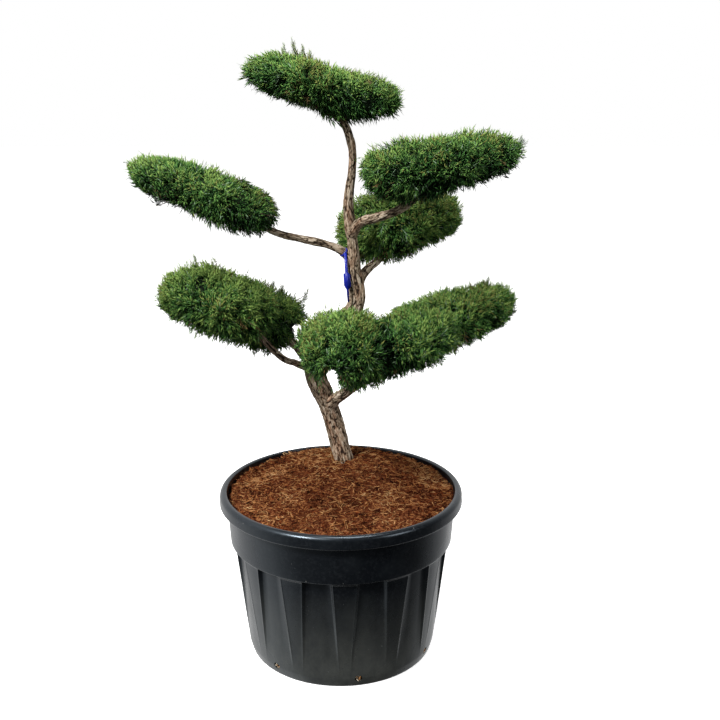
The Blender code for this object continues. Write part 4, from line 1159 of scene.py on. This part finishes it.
def square_axes(directions):
    """Two unit vectors square to each direction and to each other: the first is also square to the
    axis of space that the direction keeps furthest from."""
    first = unit(np.cross(directions, np.eye(3)[np.abs(directions).argmin(axis=-1)]))
    return first, np.cross(directions, first)


def tuft_plumes(tips, outward, tuft, length, dice):
    """Roots, headings, flat sides and lengths of the plumes fanned at each twig's end, and the fork.

    The first plume runs straight on, and plume m leans out by an angle that grows with m, a golden
    angle round from the one before.
    """
    lift = np.interp(outward[:, 2:], (-0.5, 0.3), (-TWIG_DROOP, TWIG_LIFT))
    combed = [cloud_values(tips * 13, seed) - 0.5 for seed in (84, 85, 86)]
    growth = unit(outward + lift * (0.0, 0.0, 1.0) + 1.3 * np.stack(combed, axis=-1)
                  + dice.normal(0, 0.25, outward.shape))
    first, second = square_axes(growth)
    m = np.arange(tuft)
    turn = dice.uniform(0, 2 * math.pi, (len(tips), 1)) + m * TUFT_TURN
    lean = m / tuft * 1.25 + dice.normal(0, 0.25, (len(tips), tuft))
    side = first[:, None] * np.cos(turn)[..., None] + second[:, None] * np.sin(turn)[..., None]
    headings = unit(growth[:, None] * np.cos(lean)[..., None] + side * np.sin(lean)[..., None])
    lengths = length * (1 - 0.3 * m / tuft) * dice.uniform(0.80, 1.15, (len(tips), tuft))
    fork = tips - growth * length * 0.85
    roots = fork[:, None] - outward[:, None] * (0.016 * m / tuft)[:, None]
    facing = outward[:, None] + dice.normal(0, 0.55, headings.shape)
    facing -= headings * (facing * headings).sum(-1, keepdims=True)
    return roots, headings, unit(facing), lengths, fork


def heart_points(pad, directions):
    """The heart's surface: the outline less its depth, drawn in at borders, roughened by clouds."""
    sizes = pad.reach(directions) - HEART_DEPTH
    for _ in range(40):
        points = pad.centre + (directions * sizes[:, None]) @ pad.frame
        past = past_border(pad, points)
        if not past.any():
            break
        sizes[past] *= HEART_DRAW
    rough = cloud_values(points * 70, 71) + 0.5 * cloud_values(points * 170, 72) - 0.75
    return points + (directions * (rough * 0.016)[:, None]) @ pad.frame


def clipped_plumes(pad, dice):
    """The pad's plumes: roots, headings, flat sides, lengths, and each twig's start and fork.

    A plume whose tip would pass the clipped outline is drawn in along its twig, by the distance
    that it would stand out. A plume that would reach into another pad, a limb or a bare channel is
    left out, and so is a twig with two plumes or fewer.
    """
    directions = spread_directions(round(pad.area() / TWIG_SPACING**2), pad, dice)
    swelling = pad.swelling(directions)
    tips = pad.place(directions, dice.uniform(0.94, 0.99, len(directions)) * swelling)
    starts = pad.place(directions, TWIG_ROOT)
    outward = unit(tips - starts)
    roots, headings, facings, lengths, forks = tuft_plumes(tips, outward, TUFT, PLUME_LENGTH, dice)
    outward = np.broadcast_to(outward[:, None], headings.shape).reshape(-1, 3)
    roots, headings, facings = (part.reshape(-1, 3) for part in (roots, headings, facings))
    lengths = lengths.ravel()
    clumps = cloud_values(roots * 26, 83) + 0.8 * cloud_values(roots * 12, 87)
    limit = 0.87 + 0.125 * clumps + 0.05 * dice.random(len(roots)) ** 2
    limit *= np.repeat(swelling, TUFT)
    for _ in range(2):
        ends = roots + headings * lengths[:, None]
        excess = np.maximum(0.0, pad.share(ends) - limit)
        roots -= outward * (excess * np.linalg.norm(ends - pad.centre, axis=1))[:, None]
    ends = roots + headings * lengths[:, None]
    samples = np.stack([roots, (roots + ends) / 2, ends], axis=1)
    keep = ~past_border(pad, samples[:, :2]).any(axis=1) & ~near_limb(samples, BARK_GAP).any(axis=1)
    keep &= ~in_channel(pad, samples).any(axis=1)
    has_tuft = keep.reshape(-1, TUFT).sum(axis=1) > 2
    plumes = [part[keep] for part in (roots, headings, facings, lengths)]
    return plumes, starts[has_tuft], forks[has_tuft]


def wisps(pad, dice):
    """Slim shoots that the shears missed, more of them below, where they hang."""
    directions = dice.normal(0, 1, (WISPS, 3)) * pad.half_sizes * (1.0, 1.0, 0.7)
    directions[: WISPS // 2, 2] = -np.abs(directions[: WISPS // 2, 2])
    roots = pad.place(directions, dice.uniform(0.93, 1.0, WISPS) * pad.swelling(directions))
    headings = unit(roots - pad.centre)
    headings = unit(headings + dice.normal(0, 0.30, (WISPS, 3)) - (0.0, 0.0, 0.35))
    lengths = dice.uniform(0.014, 0.036, WISPS)
    keep = ~past_border(pad, roots + headings * lengths[:, None]) & ~near_limb(roots, BARK_GAP)
    roots, headings, lengths = roots[keep], headings[keep], lengths[keep]
    return roots, headings, square_axes(headings)[0], lengths


def wild_stems(pad):
    """The four tufts of each upright sprig: their places, a quarter of its height apart, and
    their headings."""
    places, risings = [], []
    for direction, height in WILD_SHOOTS.get(pad.name, ()):
        base = pad.place(np.array(direction), pad.swelling(np.array(direction)) * 0.97)
        rising = unit(0.35 * unit(base - pad.centre) + (0.0, 0.0, 1.0))
        places.append(base + rising * height * np.array([[0.25], [0.5], [0.75], [1.0]]))
        risings.append(np.tile(rising, (4, 1)))
    return np.reshape(places, (-1, 3)), np.reshape(risings, (-1, 3))


def needle_numbers(pad, ends, widths, dice):
    """Each shoot's colour number: painted light above and further out, painted shade below,
    deep inside and on borders, brighter or darker in some patches, darker on wisps, with a few
    dead and some olive ones."""
    slope = unit((ends - pad.centre) @ pad.frame.T / np.square(pad.half_sizes)) @ pad.frame
    upness = slope[:, 2]
    patches = cloud_values(ends * 14, 81) - 0.5
    depth = pad.share(ends)
    # Painted light and shade: tops lit and undersides shaded by upness, the inside shaded by depth,
    # borders shaded by the pads beside them.
    tones = (2.5 + PAD_TONES[pad.name] + 1.2 * upness + 2.0 * patches + 11.0 * (depth - 1.0)
             - 2.4 * border_shade(pad, ends) + dice.normal(0, 0.70, len(ends)))
    tones[widths == WISP_WIDTH] -= 1.2
    dead = dice.random(len(ends)) < 0.003 + 0.015 * (upness < -0.2) + 0.012 * (
        (upness > 0.3) & (patches > 0.16))
    olive_share = np.clip(0.02 + 2.0 * (cloud_values(ends * 10, 88) - 0.5), 0, 0.45) * (upness > 0)
    return shade_kinds(tones, dead, olive_share, dice)


def bowed_twigs(starts, ends):
    """Thin lines (twigs, 4, centre and radius) that sag by 4 t (1 - t) * sag on their way out."""
    t = np.linspace(0, 1, 4)
    lines = np.empty((len(ends), 4, 4))
    lines[..., :3] = starts[:, None] + (ends - starts)[:, None] * t[:, None]
    lines[..., 2] -= TWIG_SAG * 4 * t * (1 - t)
    lines[..., 3] = 0.0026 - 0.0014 * t
    return lines


def inner_limbs(pad, dice):
    """Points and faces of the limbs that fork from the bearer's end and run out through the heart.

    Each runs (1 - t)^2 * end + 2 t (1 - t) * bend + t^2 * target, and gets thinner on the way.
    """
    bearer = TRUNK_LINE if pad.bearer == "trunk" else BOUGH_LINES[pad.bearer]
    last, before = np.array(bearer[-1]), np.array(bearer[-2])
    around = np.arange(FORKS) * 2 * math.pi / FORKS + dice.uniform(0, 1)
    targets = pad.place(np.stack([
        np.cos(around) * pad.length, np.sin(around) * pad.width,
        dice.uniform(-0.5, 0.3, FORKS) * pad.rise], axis=-1), FORK_REACH)
    t = np.linspace(0, 1, FORK_STEPS)[:, None]
    bend = last[:3] + (last[:3] - before[:3]) * 0.5
    lines = (1 - t) ** 2 * last[:3] + 2 * t * (1 - t) * bend + t**2 * targets[:, None]
    radii = np.broadcast_to(last[3] * (0.85 - 0.6 * t), lines.shape[:2] + (1,))
    sections, _ = carried_sections(np.concatenate([lines, radii], axis=-1), FORK_SIDES)
    size = FORK_STEPS * FORK_SIDES
    firsts = np.arange(FORKS)[:, None, None] * size
    caps = np.stack([np.arange(FORK_SIDES)[::-1], np.arange(size - FORK_SIDES, size)])
    faces = [(firsts + wrapped_faces(FORK_STEPS, FORK_SIDES)).reshape(-1, 4),
             (firsts + caps).reshape(-1, FORK_SIDES)]
    return sections.reshape(-1, 3), faces


# The heart's near-black is painted shade, the dark deep in a pad, with a little brown of old growth.
heart_finish, tree, shader = surface_finish("shaded_growth", 0.95, 0.1)
place = object_place(tree)
tree.links.new(colour_steps(tree, grain_noise(tree, place, 120.0, 5.0, 0.7), (
    (0.40, (0.0025, 0.0040, 0.0025)), (0.56, (0.0080, 0.0170, 0.0070)),
    (0.70, (0.0300, 0.0260, 0.0120)))), shader.inputs["Base Color"])
relief_bump(tree, shader, grain_noise(tree, place, 260.0, 4.0), 0.006)

twig_finish, tree, shader = surface_finish("twig_bark", 0.85, 0.2)
tree.links.new(colour_steps(tree, grain_noise(tree, object_place(tree), 160.0, 3.0), (
    (0.38, (0.022, 0.013, 0.008)), (0.52, (0.070, 0.044, 0.027)), (0.68, (0.180, 0.130, 0.088)))),
    shader.inputs["Base Color"])

# Every heart starts from the same even ball of triangles.
ball_shape = bmesh.new()
bmesh.ops.create_icosphere(ball_shape, subdivisions=5, radius=1.0)
ball = bpy.data.meshes.new("heart_ball")
ball_shape.to_mesh(ball)
ball_shape.free()
heart_directions = np.empty(len(ball.vertices) * 3, np.float32)
ball.vertices.foreach_get("co", heart_directions)
heart_directions = unit(heart_directions.reshape(-1, 3).astype(float))
heart_faces = np.empty(len(ball.loops), np.int32)
ball.loops.foreach_get("vertex_index", heart_faces)
heart_faces = heart_faces.reshape(-1, 3)
bpy.data.meshes.remove(ball)

for pad in pads.values():
    dice = np.random.default_rng(pad.seed)
    plumes, twig_starts, twig_forks = clipped_plumes(pad, dice)
    stray = wisps(pad, dice)
    stem_places, stem_headings = wild_stems(pad)
    *wild, wild_forks = tuft_plumes(
        stem_places, stem_headings, WILD_TUFT, PLUME_LENGTH * WILD_LENGTH, dice)
    roots, headings, facings = (
        np.vstack([plumes[k], wild[k].reshape(-1, 3), stray[k]]) for k in range(3))
    lengths = np.concatenate([plumes[3], wild[3].ravel(), stray[3]])
    widths = np.repeat(
        (1.0, WILD_WIDTH, WISP_WIDTH), (len(plumes[3]), wild[3].size, len(stray[3])))
    points = grown_plumes(roots, headings, facings, lengths, widths, dice)
    numbers = needle_numbers(pad, roots + headings * lengths[:, None], widths, dice)
    slips = np.arange(points.shape[0] * points.shape[1])[:, None, None] * 4 + SLIP
    shoots = add_piece(
        pad.name + "_shoots", points.reshape(-1, 3), [slips.reshape(-1, 3)], needle_finishes,
        np.repeat(numbers.ravel(), len(SLIP)), smooth=False)
    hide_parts(pad.name)
    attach(shoots, "root")

    twig_starts = np.vstack([twig_starts, pad.centre + 0.5 * (stem_places - pad.centre)])
    twig_lines = bowed_twigs(twig_starts, np.vstack([twig_forks, wild_forks]))
    twigs = add_piece(pad.name + "_twigs", *slim_tubes(twig_lines), [twig_finish])
    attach(twigs, "root")

    limbs = add_piece(pad.name + "_limbs", *inner_limbs(pad, dice), [twig_finish])
    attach(limbs, "root")

    heart = add_piece(
        pad.name + "_heart", heart_points(pad, heart_directions), [heart_faces], [heart_finish])
    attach(heart, "root")


# ---------------------------------------------------------------- label
# A loop-lock nursery label, punched from thin blue sheet and left blank: its strap runs round the
# left high bough and through the head, and the narrow tail hangs free beside the trunk.
LABEL_THICKNESS = 0.0014
LABEL_RUN = 0.044  # where the strap lies, from the bough's root
LABEL_LEAN = 0.06  # how far it swings to the right, as a share of the way down

# Half the label's width, and how far down it is, from the strap to the tail's end.
LABEL_OUTLINE = (
    (0.0048, 0.000), (0.0048, 0.062), (0.0056, 0.068), (0.0112, 0.072), (0.0114, 0.112),
    (0.0080, 0.118), (0.0040, 0.124), (0.0034, 0.150), (0.0028, 0.168))
STRAP_GAP = 0.0018
STRAP_WIDTH = 0.008
STRAP_SIDES = 48

label_finish, tree, shader = surface_finish("label_blue", 0.35, 0.5)
tree.links.new(colour_steps(tree, grain_noise(tree, object_place(tree), 90.0, 3.0), (
    (0.35, (0.003, 0.008, 0.200)), (0.65, (0.008, 0.022, 0.380)))), shader.inputs["Base Color"])
relief_bump(tree, shader, grain_noise(tree, object_place(tree, (1, 1, 0.2)), 900.0, 2.0), 0.0003)

label_line, label_run = even_line(BOUGH_LINES["bough_left_high"], 0.002)
strap_row = np.searchsorted(label_run, LABEL_RUN)
at = label_line[strap_row]
ahead = unit(label_line[strap_row + 1, :3] - at[:3])
side = unit(np.cross(ahead, (0.0, 0.0, 1.0)))
up = np.cross(side, ahead)
a = np.linspace(0, 2 * math.pi, STRAP_SIDES, endpoint=False)[:, None]
out = side * np.cos(a) + up * np.sin(a)
inner_radius = at[3] + STRAP_GAP
outer_radius = inner_radius + LABEL_THICKNESS
half_strap = ahead * STRAP_WIDTH / 2
strap_grid = np.stack([
    at[:3] + out * inner_radius - half_strap, at[:3] + out * outer_radius - half_strap,
    at[:3] + out * outer_radius + half_strap, at[:3] + out * inner_radius + half_strap], axis=1)
strap_faces = wrapped_faces(STRAP_SIDES + 1, 4) % (STRAP_SIDES * 4)
front = at[:3] - side * outer_radius * np.sign(side[1])
widths = np.array(LABEL_OUTLINE)
left = np.column_stack([-widths[:, 0], -widths[:, 1]])
outline = np.vstack([left, left[::-1] * (-1, 1)])
plate = np.stack([
    np.column_stack([
        front[0] + outline[:, 0] - LABEL_LEAN * outline[:, 1],
        np.full(len(outline), front[1] + depth), front[2] + outline[:, 1]])
    for depth in (-LABEL_THICKNESS / 2, LABEL_THICKNESS / 2)])
plate_start = STRAP_SIDES * 4
plate_count = len(outline)
plate_faces = wrapped_faces(2, plate_count, plate_start)
plate_ends = np.array([
    plate_start + np.arange(plate_count)[::-1], plate_start + plate_count + np.arange(plate_count)])
label = add_piece(
    "nursery_label", np.vstack([strap_grid.reshape(-1, 3), plate.reshape(-1, 3)]),
    [strap_faces, plate_faces, plate_ends], [label_finish], smooth=False)
label_shape = bmesh.new()
label_shape.from_mesh(label.data)
bmesh.ops.recalc_face_normals(label_shape, faces=label_shape.faces)
label_shape.to_mesh(label.data)
label_shape.free()
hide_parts("label")
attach(label, "root")
